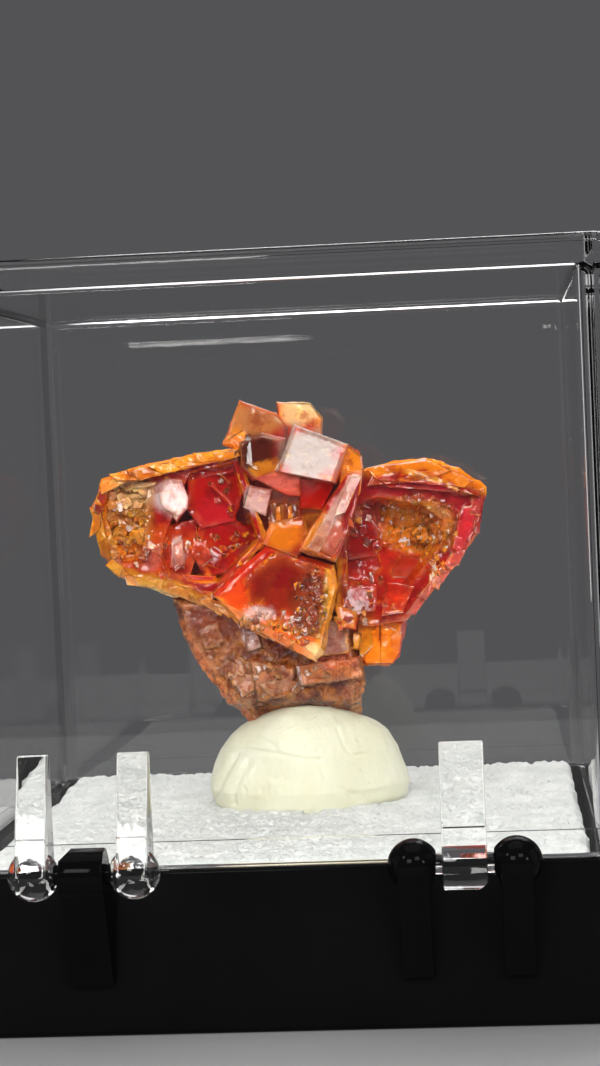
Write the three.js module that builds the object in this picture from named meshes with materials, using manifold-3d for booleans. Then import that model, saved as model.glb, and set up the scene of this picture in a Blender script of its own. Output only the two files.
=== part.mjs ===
// Vanadinite crystals on matrix, stuck with putty to the foam of a hinged clear display box.
// Millimetres, +Z up. The origin is the centre of the base's underside, the hinge side faces -Y.
import * as THREE from "three";
import { ConvexGeometry } from "three/addons/geometries/ConvexGeometry.js";
import { mergeVertices } from "three/addons/utils/BufferGeometryUtils.js";
import Module from "manifold-3d";

const wasm = await Module();
wasm.setup();

// Box dimensions
const BOX_WIDTH = 31.75;
const CORNER_RADIUS = 0.9;
const WALL = 1.35;
const BASE_HEIGHT = 7.4;
const BASE_FLOOR = 1.2;
const LID_HEIGHT = 27.5;
const LID_TOP = 1.3;
const LID_EDGE = 0.5;
const RIM_STEP = 0.35;
const RIM_STEP_HEIGHT = 1.1;
const SEAM_GAP = 0.08;

// Hinge dimensions
const HINGE_SPACING = 16.8;
const AXIS_OFFSET = 1.35;
const AXIS_RISE = 0.2;
const BALL_RADIUS = 1.15;
const BALL_SPREAD = 2.25;
const BARREL_HALF = 0.98;
const ARM_LENGTH = 5.2;
const ARM_END = 0.45;
const BALL_ARM_WIDTH = 1.4;
const PIN_RADIUS = 0.45;
const SOCKET_RADIUS = 0.6;
const PIN_REACH = 0.45;
const RAMP_WIDTH = 0.55;

// Foam and putty dimensions
const FOAM_HALF = 14.3;
const FOAM_PROUD = 0.1;
const FOAM_RAGGED = 0.3;
const PUTTY_CENTRE = [-0.1, 4.5];
const PUTTY_HALF_WIDTH = 5.35;
const PUTTY_HALF_DEPTH = 4.3;
const PUTTY_HEIGHT = 4.8;

// Specimen placing: its own frame has x across the front, y into depth and z up its stem
const SPECIMEN_AT = [-0.57, 3.8, 4.6];
const SPECIMEN_TURN = 4.57;
const SPECIMEN_LEAN = 2.5;
const GAP = 0.2;

const HALF = BOX_WIDTH / 2;
const RIM = BASE_HEIGHT;
const FOAM_TOP = RIM + FOAM_PROUD;
const AXIS_Y = -HALF - AXIS_OFFSET;
const AXIS_Z = RIM + AXIS_RISE;
const LEFT_HINGE = -HINGE_SPACING / 2;
const RIGHT_HINGE = HINGE_SPACING / 2;

// A repeatable stream of numbers between 0 and 1
function numbers(seed) {
  let state = seed;
  return () => {
    state = (state * 1664525 + 1013904223) % 4294967296;
    return state / 4294967296;
  };
}

// Solids and meshes
function solid(geometry) {
  const plain = geometry.clone();
  plain.deleteAttribute("normal");
  plain.deleteAttribute("uv");
  const merged = mergeVertices(plain, 1e-4);
  const vertProperties = new Float32Array(merged.attributes.position.array);
  const triVerts = new Uint32Array(merged.index.array);
  return new wasm.Manifold(new wasm.Mesh({ numProp: 3, vertProperties, triVerts }));
}

function geometryOf(body) {
  const mesh = body.getMesh();
  const geometry = new THREE.BufferGeometry();
  geometry.setAttribute("position", new THREE.BufferAttribute(new Float32Array(mesh.vertProperties), 3));
  geometry.setIndex(new THREE.BufferAttribute(new Uint32Array(mesh.triVerts), 1));
  const flat = geometry.toNonIndexed();
  flat.computeVertexNormals();
  return flat;
}

function joined(bodies) {
  return bodies.reduce((whole, next) => whole.add(next));
}

// The largest connected body, filled solid
function mainBody(body) {
  const bodies = body.decompose();
  return bodies.reduce((best, next) => (next.volume() > best.volume() ? next : best));
}

function box(x0, x1, y0, y1, z0, z1) {
  const geometry = new THREE.BoxGeometry(x1 - x0, y1 - y0, z1 - z0);
  geometry.translate((x0 + x1) / 2, (y0 + y1) / 2, (z0 + z1) / 2);
  return solid(geometry);
}

function hull(points) {
  return solid(new ConvexGeometry(points.map(([x, y, z]) => new THREE.Vector3(x, y, z))));
}

// Box shapes
function roundedSquare(half, radius) {
  const inner = half - radius;
  const shape = new THREE.Shape();
  shape.moveTo(-inner, -half);
  shape.absarc(inner, -inner, radius, -Math.PI / 2, 0);
  shape.absarc(inner, inner, radius, 0, Math.PI / 2);
  shape.absarc(-inner, inner, radius, Math.PI / 2, Math.PI);
  shape.absarc(-inner, -inner, radius, Math.PI, Math.PI * 1.5);
  return shape;
}

function post(half, radius, bottom, top) {
  const options = { depth: top - bottom, bevelEnabled: false, curveSegments: 4 };
  const geometry = new THREE.ExtrudeGeometry(roundedSquare(half, radius), options);
  geometry.translate(0, 0, bottom);
  return solid(geometry);
}

function roundedTopPost(half, radius, bottom, top, edge) {
  const options = {
    depth: top - bottom,
    bevelEnabled: true,
    bevelThickness: edge,
    bevelSize: edge,
    bevelOffset: -edge,
    bevelSegments: 2,
    curveSegments: 4,
  };
  const geometry = new THREE.ExtrudeGeometry(roundedSquare(half, radius), options);
  geometry.translate(0, 0, bottom - edge);
  const wide = half + 1;
  return solid(geometry).subtract(box(-wide, wide, -wide, wide, bottom - 2 * edge - 1, bottom));
}

// Hinge shapes
function ball(x) {
  const geometry = new THREE.SphereGeometry(BALL_RADIUS, 12, 8);
  geometry.rotateZ(Math.PI / 2);
  geometry.translate(x, AXIS_Y, AXIS_Z);
  return solid(geometry);
}

function rod(x0, x1, radius) {
  const geometry = new THREE.CylinderGeometry(radius, radius, x1 - x0, 12);
  geometry.rotateZ(Math.PI / 2);
  geometry.translate((x0 + x1) / 2, AXIS_Y, AXIS_Z);
  return solid(geometry);
}

// A wedge that runs from the hinge axis along the wall, up (direction 1) or down (direction -1)
function wedge(x, width, direction) {
  const wall = AXIS_OFFSET + 0.2;
  const foot = direction > 0 ? SEAM_GAP - AXIS_RISE : AXIS_RISE;
  const outline = [
    [-BALL_RADIUS * 0.92, 0],
    [AXIS_OFFSET - ARM_END, ARM_LENGTH],
    [wall, ARM_LENGTH],
    [wall, foot + 0.02],
    [AXIS_OFFSET - 0.25, Math.min(foot, 0.2)],
    [0, -0.3],
  ];
  const points = [];
  for (const side of [-width / 2, width / 2]) {
    for (const [y, along] of outline) {
      points.push([x + side, AXIS_Y + y, AXIS_Z + direction * along]);
    }
  }
  return hull(points);
}

function ballPair(centre, direction) {
  const places = [centre - BALL_SPREAD, centre + BALL_SPREAD];
  const bodies = places.flatMap((x) => [ball(x), wedge(x, BALL_ARM_WIDTH, direction)]);
  const inner = BARREL_HALF + 0.1;
  const socket = rod(centre - inner - PIN_REACH, centre + inner + PIN_REACH, SOCKET_RADIUS);
  return joined(bodies).subtract(socket);
}

// The snap-in ramp cut on a barrel's outer end, on the side away from its wedge
function ramp(centre, direction) {
  const side = Math.sign(centre);
  const end = centre + side * BARREL_HALF;
  const outline = [[0.2, 0.55], [0.2, BALL_RADIUS + 0.1], [-RAMP_WIDTH, BALL_RADIUS + 0.1]];
  const points = [];
  for (const y of [AXIS_Y - 2, AXIS_Y + AXIS_OFFSET]) {
    for (const [out, up] of outline) {
      points.push([end + side * out, y, AXIS_Z - direction * up]);
    }
  }
  return hull(points);
}

function barrel(centre, direction) {
  const body = rod(centre - BARREL_HALF, centre + BARREL_HALF, BALL_RADIUS);
  const pin = rod(centre - BARREL_HALF - PIN_REACH, centre + BARREL_HALF + PIN_REACH, PIN_RADIUS);
  const arm = wedge(centre, 2 * BARREL_HALF, direction);
  return joined([body.subtract(ramp(centre, direction)), arm, pin]);
}

function makeBase() {
  const outside = post(HALF, CORNER_RADIUS, 0, RIM);
  const pocket = post(HALF - WALL, 0.4, BASE_FLOOR, RIM + 1);
  return joined([outside.subtract(pocket), barrel(LEFT_HINGE, -1), ballPair(RIGHT_HINGE, -1)]);
}

function makeLid() {
  const bottom = RIM + SEAM_GAP;
  const top = RIM + LID_HEIGHT;
  const outside = roundedTopPost(HALF, CORNER_RADIUS, bottom, top, LID_EDGE);
  const inside = post(HALF - WALL, 0.4, bottom - 1, top - LID_TOP);
  const step = post(HALF - WALL + RIM_STEP, 0.5, bottom - 1, bottom + RIM_STEP_HEIGHT);
  const shell = outside.subtract(inside).subtract(step);
  return joined([shell, ballPair(LEFT_HINGE, 1), barrel(RIGHT_HINGE, 1)]);
}

// Foam block with hand-cut edges
function makeFoam() {
  const random = numbers(11);
  const steps = 18;
  const shape = new THREE.Shape();
  const corners = [[-1, -1], [1, -1], [1, 1], [-1, 1]];
  corners.forEach(([cx, cy], side) => {
    const [nx, ny] = corners[(side + 1) % 4];
    for (let step = 0; step < steps; step += 1) {
      const along = step / steps;
      const inset = FOAM_HALF - FOAM_RAGGED * random();
      const x = inset * (cx + (nx - cx) * along);
      const y = inset * (cy + (ny - cy) * along);
      if (side === 0 && step === 0) {
        shape.moveTo(x, y);
      } else {
        shape.lineTo(x, y);
      }
    }
  });
  const options = {
    depth: FOAM_TOP - BASE_FLOOR - 0.3,
    bevelEnabled: true,
    bevelThickness: 0.3,
    bevelSize: 0.25,
    bevelOffset: -0.25,
    bevelSegments: 1,
  };
  const geometry = new THREE.ExtrudeGeometry(shape, options);
  geometry.translate(0, 0, BASE_FLOOR);
  const around = box(-20, 20, -20, 20, BASE_FLOOR, FOAM_TOP + 1);
  return solid(geometry).intersect(around);
}

// Putty: a pressed ball, wide low down, flat on top, with thumb dents
function makePutty() {
  const profile = [
    [0.0, 0.0], [0.9, 0.0], [0.97, 0.1], [1.0, 0.33], [0.985, 0.52],
    [0.93, 0.7], [0.84, 0.85], [0.7, 0.95], [0.5, 1.0], [0.0, 1.0],
  ];
  const outline = profile.map(([out, up]) => new THREE.Vector2(out, up));
  const geometry = new THREE.LatheGeometry(outline, 36);
  geometry.rotateX(Math.PI / 2);
  const place = geometry.attributes.position;
  for (let i = 0; i < place.count; i += 1) {
    const x = place.getX(i);
    const y = place.getY(i);
    const up = place.getZ(i);
    const angle = Math.atan2(y, x);
    const lump = 1 + 0.035 * Math.sin(3 * angle + 0.6) + 0.02 * Math.sin(5 * angle + 2.1 + 2 * up);
    const slope = 1 - 0.1 * Math.max(0, -x) * up;
    const across = x * lump * slope * PUTTY_HALF_WIDTH;
    const deep = y * lump * PUTTY_HALF_DEPTH;
    place.setXYZ(i, across, deep, up * PUTTY_HEIGHT);
  }
  geometry.translate(PUTTY_CENTRE[0], PUTTY_CENTRE[1], FOAM_TOP);
  return solid(geometry);
}

// Crystal shapes in the specimen's frame
// A block has a flat front with a chamfered edge, sides that run back, and a smaller back end.
// tilt turns the front face: its depth grows by tilt[0] per mm to the right and tilt[1] per mm up.
const PLAIN_BLOCK = { tilt: [0, 0], chamfer: 0.12, shrink: 0.85, drift: [0, 0] };

function middleOf(outline) {
  const sum = outline.reduce(([a, b], [x, z]) => [a + x, b + z], [0, 0]);
  return [sum[0] / outline.length, sum[1] / outline.length];
}

function block(outline, front, back, options = {}) {
  const { tilt, chamfer, shrink, drift } = { ...PLAIN_BLOCK, ...options };
  const middle = middleOf(outline);
  const points = [];
  for (const [x, z] of outline) {
    const dx = x - middle[0];
    const dz = z - middle[1];
    const reach = Math.hypot(dx, dz);
    const inset = (reach - chamfer) / reach;
    const lean = tilt[0] * dx + tilt[1] * dz;
    points.push([middle[0] + dx * inset, front + lean, middle[1] + dz * inset]);
    points.push([x, front + lean + chamfer, z]);
    points.push([middle[0] + dx * shrink + drift[0], back, middle[1] + dz * shrink + drift[1]]);
  }
  return hull(points);
}

// A six-sided prism from a foot to a tip that is chamfered, or narrows from the foot on when it is small
function prism(foot, tip, radius, turn = 0, small = false) {
  const from = new THREE.Vector3(...foot);
  const to = new THREE.Vector3(...tip);
  const length = from.distanceTo(to);
  const rings = [[0, radius * 1.04], [length, radius * 0.78]];
  if (!small) {
    rings.push([length - radius * 0.22, radius]);
  }
  const swing = new THREE.Quaternion();
  swing.setFromUnitVectors(new THREE.Vector3(0, 0, 1), to.clone().sub(from).normalize());
  const points = [];
  for (const [up, size] of rings) {
    for (let side = 0; side < 6; side += 1) {
      const angle = turn + (side * Math.PI) / 3;
      const corner = new THREE.Vector3(size * Math.cos(angle), size * Math.sin(angle), up);
      points.push(corner.applyQuaternion(swing).add(from).toArray());
    }
  }
  return hull(points);
}

// Small stubby crystals scattered over an etched patch
function etched(seed, count, centre, spread, size, depthAt) {
  const random = numbers(seed);
  const bodies = [];
  for (let i = 0; i < count; i += 1) {
    const x = centre[0] + (2 * random() - 1) * spread[0];
    const z = centre[1] + (2 * random() - 1) * spread[1];
    const y = depthAt(x, z);
    const radius = size * (0.6 + 0.8 * random());
    const lean = [random() - 0.5, -0.5 - 0.5 * random(), random() - 0.5];
    const tip = [x + lean[0] * radius, y + lean[1] * radius, z + lean[2] * radius];
    bodies.push(prism([x, y + 0.5, z], tip, radius, random(), true));
  }
  return bodies;
}

const LEFT_CRYSTAL = [
  [-9.9, 12.3], [-8.3, 12.9], [-5.2, 13.6], [-2.8, 13.9], [-2.3, 11.6], [-1.4, 9.1],
  [-3.8, 6.4], [-6.2, 6.6], [-8.6, 7.1], [-9.9, 8.5], [-10.4, 10.6],
];
const LEFT_HOLLOW = [
  [-5.4, 12.9], [-3.0, 13.4], [-2.5, 11.6], [-1.6, 9.2], [-3.8, 6.9], [-5.1, 6.9],
  [-6.7, 7.5], [-7.1, 8.5], [-6.5, 9.9],
];
const LEFT_FOOT = [[-7.0, 7.2], [-3.0, 7.4], [-2.6, 5.6], [-3.4, 5.2], [-4.5, 5.5], [-6.0, 6.4]];
const LEFT_END = [[-9.6, 11.9], [-7.4, 12.6], [-7.6, 7.9], [-8.8, 7.8], [-9.8, 10.4]];
const LEFT_BRIGHT_FACE = [
  [-7.1, 12.1], [-6.2, 12.4], [-5.7, 11.9], [-5.4, 10.9], [-6.0, 10.1], [-6.7, 10.8],
];
const RIGHT_CRYSTAL = [
  [3.5, 12.8], [5.0, 13.2], [6.7, 13.4], [8.5, 12.9], [9.9, 11.9], [9.9, 11.3], [9.5, 9.6],
  [8.8, 8.5], [6.8, 6.2], [5.8, 5.0], [3.7, 4.8], [2.1, 5.5], [2.3, 9.1],
];
const RIGHT_HOLLOW = [
  [3.3, 11.6], [4.5, 12.0], [7.1, 11.6], [8.7, 10.6], [8.7, 9.3], [7.2, 7.4], [6.0, 6.1],
  [4.6, 5.4], [2.5, 5.6], [2.5, 9.1],
];
const DRIP_LOBE = [
  [3.4, 3.0], [3.7, 2.6], [5.0, 2.6], [5.5, 3.1], [5.7, 4.1], [5.9, 5.2], [4.3, 5.6], [3.8, 4.3],
];
const CENTRE_SLAB = [
  [-1.3, 9.0], [2.1, 7.9], [2.3, 6.8], [2.0, 5.5], [1.5, 3.6], [1.1, 3.0], [0.5, 3.3],
  [-2.8, 5.0], [-4.1, 6.4], [-3.4, 7.2],
];
const CORE = [
  [-2.2, 13.4], [0.0, 14.2], [3.0, 12.8], [2.4, 9.0], [2.4, 5.6], [-1.6, 6.0], [-1.4, 9.5],
];
const STEM = [
  [-6.1, 6.1], [-5.8, 4.8], [-4.9, 2.9], [-4.0, 1.9], [-2.8, 0.7], [-2.0, -0.9], [3.0, -0.9],
  [3.4, 0.2], [3.6, 2.2], [3.1, 5.1], [0.0, 6.6],
];

function makeLeftCrystal() {
  const body = block(LEFT_CRYSTAL, -2.3, 3.2, { tilt: [-0.08, 0.05], shrink: 0.8, drift: [0.4, 0.2] });
  const foot = block(LEFT_FOOT, -2.0, 2.0, { tilt: [-0.05, 0] });
  const hollow = block(LEFT_HOLLOW, -4.0, -0.4, { shrink: 0.86 });
  const endHollow = block(LEFT_END, -4, -1.6, { shrink: 0.9 });
  const shell = joined([body, foot]).subtract(hollow).subtract(endHollow);
  const ledges = [
    block([[-9.6, 12.35], [-2.9, 13.75], [-2.9, 13.45], [-9.4, 11.95]], -2.75, 0, { shrink: 0.98 }),
    block([[-8.9, 7.5], [-4.2, 6.6], [-4.0, 6.2], [-6.2, 6.3], [-8.5, 7.05]], -2.6, 0, { shrink: 0.98 }),
    block([[-5.5, 12.75], [-3.0, 13.2], [-2.9, 12.7], [-5.6, 12.2]], -1.7, 1, { shrink: 0.98 }),
    block([[-6.2, 7.4], [-4.0, 7.3], [-4.2, 6.7], [-6.4, 6.8]], -1.7, 1, { shrink: 0.98 }),
    block(LEFT_BRIGHT_FACE, -2.0, 0.5, { tilt: [-0.15, 0.2], shrink: 0.95 }),
    block([[-7.8, 8.9], [-6.7, 9.0], [-6.8, 7.6], [-7.6, 7.7]], -2.1, 0.5, { tilt: [0.2, -0.2] }),
    block([[-6.3, 9.3], [-5.5, 9.6], [-5.6, 7.6], [-6.4, 7.7]], -1.6, 0.5, { tilt: [0.25, 0.1] }),
    block([[-4.8, 9.9], [-3.6, 10.6], [-3.0, 9.2], [-4.4, 8.3]], -0.9, 1, { tilt: [0.2, 0.2] }),
  ];
  const bumps = etched(5, 34, [-8.6, 10.2], [1.0, 2.0], 0.33, () => -1.75);
  return joined([shell, ...ledges, ...bumps]);
}

function makeRightCrystal() {
  const body = block(RIGHT_CRYSTAL, -2.1, 3.6, { tilt: [0.05, 0.06], shrink: 0.8, drift: [-0.3, 0.3] });
  const hollow = block(RIGHT_HOLLOW, -5.0, 0.9, { shrink: 0.62, drift: [-0.6, 0] });
  const shell = body.subtract(hollow);
  const ledges = [
    block([[4.2, 12.6], [6.7, 12.9], [9.2, 11.9], [9.3, 11.5], [6.8, 12.2], [4.4, 12.0]], -2.5, 0),
    block([[8.6, 10.9], [9.4, 11.0], [9.2, 9.5], [8.4, 8.4], [8.1, 8.8], [8.6, 9.6]], -2.4, 0),
    block([[4.6, 11.9], [7.4, 11.4], [8.2, 10.6], [7.2, 10.9], [4.8, 11.3]], -1.3, 1.5),
    block([[2.6, 5.6], [4.8, 5.8], [4.6, 4.2], [3.6, 3.1], [2.7, 3.4]], -1.9, 1.2, {
      tilt: [0.1, 0.1],
    }),
    block([[3.2, 8.6], [4.4, 8.3], [4.6, 6.9], [3.3, 6.7]], -0.3, 2, { tilt: [0.3, 0.1] }),
    block([[3.4, 10.9], [4.2, 11.2], [4.4, 9.8], [3.5, 9.6]], -0.4, 2, { tilt: [0.2, 0.1] }),
  ];
  const lobe = block(DRIP_LOBE, -1.7, 1.4, { chamfer: 0.5, shrink: 0.7 });
  const floor = (x) => 1.1 - 0.42 * (x - 4.0);
  const bumps = etched(9, 44, [6.5, 9.7], [1.6, 1.4], 0.34, floor);
  return joined([shell, ...ledges, lobe, ...bumps]);
}

function makeTopCrystals() {
  const tan = [[-2.8, 16.4], [-2.3, 16.2], [-0.9, 15.7], [-0.3, 15.0], [-0.6, 12.6], [-3.6, 14.1]];
  const cream = [[-0.9, 16.3], [0.9, 16.3], [1.5, 15.5], [1.5, 13.6], [-0.8, 13.6]];
  const bright = [[0.0, 15.1], [2.8, 14.1], [2.1, 12.1], [-0.9, 12.7]];
  const dark = [[-2.8, 14.2], [-1.6, 14.7], [-0.4, 14.4], [-0.6, 12.7], [-2.1, 12.2], [-2.7, 12.9]];
  const under = [[-2.1, 12.4], [-0.9, 12.8], [0.4, 12.4], [0.4, 11.4], [-0.3, 11.4]];
  return [
    block(tan, -1.4, 1.8, { tilt: [0.15, 0.1] }),
    block([[-3.5, 14.3], [-2.6, 14.9], [-1.9, 14.2], [-2.6, 13.3]], -1.9, 1.0, { tilt: [-0.2, 0.1] }),
    block(cream, 0.3, 2.0, { tilt: [0.25, 0] }),
    block(bright, -3.3, 1.5, { tilt: [0.12, 0.3], shrink: 1.0, drift: [0.7, -0.4] }),
    block(dark, -2.7, 1.5, { tilt: [-0.1, 0.15] }),
    block(under, -2.9, 1.0, { tilt: [0, -0.5] }),
    block([[2.5, 14.2], [3.5, 13.5], [3.6, 12.8], [2.3, 12.0]], -2.4, 1.5, { tilt: [0.3, 0.2] }),
    block([[-2.3, 12.0], [-1.1, 11.8], [-1.4, 10.4], [-2.6, 10.9]], -2.7, 1.0, { tilt: [-0.1, 0.05] }),
    block([[-1.2, 11.9], [0.5, 11.7], [0.4, 10.3], [-1.3, 10.3]], -1.9, 1.5, { tilt: [0.1, -0.1] }),
    block([[0.3, 12.4], [2.2, 12.2], [1.5, 10.7], [0.3, 10.8]], -2.3, 1.5, { tilt: [0.1, -0.3] }),
  ];
}

function makeCentreCrystals() {
  const orange = [[-1.2, 10.1], [0.5, 10.5], [0.9, 9.2], [0.2, 8.3], [-1.6, 9.0]];
  const slanted = [
    [2.8, 12.7], [3.5, 12.8], [3.4, 11.6], [2.7, 9.4], [2.1, 8.1], [0.3, 8.7], [0.7, 9.6], [1.8, 11.3],
  ];
  const stripe = [[3.0, 12.6], [3.4, 12.5], [1.2, 8.5], [0.6, 8.8]];
  const dish = [[-0.6, 8.2], [1.5, 7.5], [1.6, 6.2], [1.2, 4.6], [-0.6, 5.0], [-1.9, 6.0]];
  const ledge = [[-3.9, 6.3], [-2.7, 5.1], [0.6, 3.4], [1.2, 3.0], [1.0, 3.5], [-2.5, 5.5]];
  const shoulder = [[-2.9, 13.7], [-1.4, 13.5], [-1.4, 11.2], [-2.6, 10.9], [-2.8, 12.2]];
  const slab = block(CENTRE_SLAB, -3.5, 1.5, { tilt: [0.05, 0.06], chamfer: 0.25, shrink: 0.9 });
  return [
    block(CORE, -1.3, 3.0),
    block(shoulder, -1.2, 2.4),
    block([[1.3, 6.2], [3.9, 6.2], [3.8, 3.5], [1.5, 3.5]], -1.6, 1.6),
    block(orange, -3.4, 1.0, { tilt: [0.12, 0.12] }),
    block(slanted, -3.6, 1.0, { tilt: [0.1, 0.14], shrink: 0.9 }),
    block(stripe, -4.0, 0, { tilt: [0.1, 0.14], shrink: 0.98 }),
    slab.subtract(block(dish, -6, -3.0)),
    block(ledge, -3.8, 0, { shrink: 0.96 }),
    block([[1.6, 5.2], [2.8, 4.9], [2.9, 3.3], [1.4, 3.2]], -2.5, 1.0, { tilt: [0.15, 0] }),
    block([[2.1, 5.9], [3.3, 5.6], [3.2, 4.6], [2.3, 4.7]], -2.9, 1.0, { tilt: [0.1, 0.3] }),
    block([[2.7, 4.5], [3.5, 4.4], [3.4, 3.5], [2.7, 3.5]], -2.3, 1.0, { tilt: [-0.2, 0.2] }),
    ...etched(21, 16, [0.9, 6.3], [0.6, 1.2], 0.24, () => -3.05),
  ];
}

// Crystals on the far side
function makeBackCrystals() {
  return [
    prism([-5.5, 0.0, 9.8], [-7.4, 4.9, 10.6], 2.5, 0.3),
    prism([-3.0, 0.0, 9.5], [-2.6, 5.3, 8.6], 2.1, 0.1),
    prism([0.2, 0.0, 11.0], [0.4, 3.6, 12.0], 1.9, 0.5),
    prism([4.2, 0.0, 9.5], [3.8, 5.2, 8.8], 2.3, 0.2),
    prism([6.4, 0.0, 9.6], [7.4, 4.8, 10.4], 2.0, 0.7),
    prism([1.0, 0.5, 7.0], [0.6, 4.6, 5.4], 1.7, 0.4),
    prism([-4.6, 0.5, 7.4], [-5.2, 4.0, 5.8], 1.3, 0.0),
    prism([4.0, 0.5, 6.4], [4.6, 3.6, 5.0], 1.2, 0.9),
    prism([-0.6, 0.5, 13.2], [-1.5, 2.2, 14.2], 1.1, 0.2),
  ];
}

// The stem is a rough many-sided stub; grown copies of it cut its seats
function makeStem(grow) {
  const outline = STEM.map(([x, z]) => {
    const reach = Math.hypot(x + 0.8, z - 3.0);
    const scale = (reach + grow) / reach;
    return [-0.8 + (x + 0.8) * scale, 3.0 + (z - 3.0) * scale];
  });
  return block(outline, -2.3 - grow, 3.0 + grow, { tilt: [0.04, -0.02], chamfer: 0.5, shrink: 0.86 });
}

function makeStemLumps() {
  return [
    block([[0.2, 2.7], [3.4, 3.1], [3.6, 2.2], [0.4, 1.8]], -2.7, 1, { tilt: [0.05, 0.2] }),
    block([[-4.9, 3.3], [-3.0, 3.8], [-2.4, 2.4], [-4.0, 2.0]], -2.3, 1, { tilt: [-0.2, 0.2] }),
    block([[-2.2, 3.0], [0.0, 2.6], [0.0, 1.2], [-1.8, 1.0]], -2.7, 1, { tilt: [0.1, -0.1] }),
    block([[-5.6, 5.0], [-3.4, 4.8], [-3.2, 3.8], [-5.0, 3.4]], -2.2, 1, { tilt: [-0.2, -0.1] }),
    prism([-2.0, 1.0, 3.0], [-2.6, 3.9, 2.6], 1.2, 0.3),
    prism([1.6, 1.0, 2.6], [1.8, 3.8, 2.2], 1.3, 0.6),
    ...etched(33, 12, [-1.5, 1.9], [1.9, 0.8], 0.42, () => -2.2),
  ];
}

function placed(body) {
  const degree = Math.PI / 180;
  const turn = new THREE.Euler(0, SPECIMEN_LEAN * degree, SPECIMEN_TURN * degree, "ZYX");
  const [x, y, z] = SPECIMEN_AT;
  const matrix = new THREE.Matrix4().makeRotationFromEuler(turn).setPosition(x, y, FOAM_TOP + z);
  return body.transform(matrix.toArray());
}

function makeMatrix() {
  return placed(joined([makeStem(0), ...makeStemLumps()]));
}

function makeVanadinite() {
  const crystals = [
    makeLeftCrystal(),
    makeRightCrystal(),
    ...makeTopCrystals(),
    ...makeCentreCrystals(),
    ...makeBackCrystals(),
  ];
  return mainBody(placed(joined(crystals)).subtract(placed(makeStem(GAP))));
}

function makeSeatedPutty() {
  return makePutty().subtract(placed(makeStem(GAP)));
}

const PIECES = [
  { name: "base", body: makeBase(), color: 0x0b0b0c, roughness: 0.25 },
  { name: "foam_pad", body: makeFoam(), color: 0xe6e5e2, roughness: 0.9 },
  { name: "putty", body: makeSeatedPutty(), color: 0xd9cfae, roughness: 0.7 },
  { name: "matrix", body: makeMatrix(), color: 0x8a5a45, roughness: 0.75 },
  { name: "vanadinite", body: makeVanadinite(), color: 0xb52c12, roughness: 0.2 },
  { name: "lid", body: makeLid(), color: 0xe8eef0, roughness: 0.08 },
];

const part = new THREE.Group();
part.name = "vanadinite_on_matrix";
for (const { name, body, color, roughness } of PIECES) {
  const material = new THREE.MeshStandardMaterial({ color, roughness, metalness: 0 });
  const mesh = new THREE.Mesh(geometryOf(body), material);
  mesh.name = name;
  part.add(mesh);
}

export default part;
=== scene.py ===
import math

import bmesh
import bpy
import numpy as np
from mathutils import Matrix, Vector, noise
from mathutils.bvhtree import BVHTree


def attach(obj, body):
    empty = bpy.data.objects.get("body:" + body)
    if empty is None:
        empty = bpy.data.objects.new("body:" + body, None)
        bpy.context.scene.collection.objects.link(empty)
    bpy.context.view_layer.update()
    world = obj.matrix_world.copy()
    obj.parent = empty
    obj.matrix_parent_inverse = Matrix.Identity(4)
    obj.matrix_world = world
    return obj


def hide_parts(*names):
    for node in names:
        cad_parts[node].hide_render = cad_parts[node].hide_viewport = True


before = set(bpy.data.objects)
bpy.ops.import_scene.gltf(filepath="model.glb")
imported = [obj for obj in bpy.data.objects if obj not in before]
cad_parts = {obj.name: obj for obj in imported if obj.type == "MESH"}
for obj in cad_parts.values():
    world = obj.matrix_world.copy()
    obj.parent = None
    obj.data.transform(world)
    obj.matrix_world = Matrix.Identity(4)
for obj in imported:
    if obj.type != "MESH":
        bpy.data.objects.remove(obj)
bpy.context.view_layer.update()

# Dimensions in millimetres, angles in degrees
MM = 0.001
HALF = 15.875
WALL = 1.35
RIM = 7.4
BASE_FLOOR = 1.2
OUTER_CORNER = 14.975
INNER_CORNER = 14.125
LID_BOTTOM = 7.48
LID_TOP = 34.9
LID_CEILING = 33.6
AXIS_Y = -17.225
AXIS_Z = 7.6
HINGE_X = 8.4
BALL_RADIUS = 1.15
BALL_SPREAD = 2.25
BARREL_HALF = 0.98
PIN_REACH = 0.45
PIN_RADIUS = 0.45
SOCKET_RADIUS = 0.6
ARM_WIDTH = 1.4
ARM_EDGE = 0.08
FOAM_HALF = 14.25
FOAM_TOP = 7.5
PUTTY_CENTRE = (-0.1, 4.5)
PUTTY_HALF = (5.3, 4.25)
PUTTY_HEIGHT = 5.15
PUTTY_SUNK = 0.2
SPECIMEN_AT = np.array([-0.57, 3.8, 12.1])
SPECIMEN_TURN = 4.57
SPECIMEN_LEAN = 2.5
# Steps off a surface in metres, so that a ray does not meet it again
NEAR = 2e-6
CLEAR = 2e-5


# Colours
def linear(red, green, blue):
    """The linear colour of a screen colour given from 0 to 255."""
    parts = []
    for value in (red, green, blue):
        share = value / 255
        parts.append(share / 12.92 if share <= 0.04045 else ((share + 0.055) / 1.055) ** 2.4)
    return np.array(parts)


DEEP_RED = linear(176, 12, 8)
RED = linear(196, 30, 8)
RED_ORANGE = linear(222, 76, 8)
ORANGE = linear(252, 142, 8)
AMBER = linear(226, 138, 24)
GOLD = linear(190, 106, 36)
BROWN = linear(116, 46, 14)
TAN = linear(214, 128, 66)
CREAM = linear(246, 208, 146)
PINK = linear(226, 108, 92)
MAGENTA = linear(196, 28, 46)
LAVENDER = linear(208, 164, 158)
PALE_PINK = linear(240, 206, 198)
PALE_STONE = linear(196, 124, 88)
ROSE = linear(158, 141, 132)
RUST = linear(140, 50, 14)
UMBER = linear(84, 24, 10)
GARNET = linear(132, 10, 6)


# Mesh helpers
def in_scene(name, data):
    item = bpy.data.objects.new(name, data)
    bpy.context.scene.collection.objects.link(item)
    return item


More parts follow.
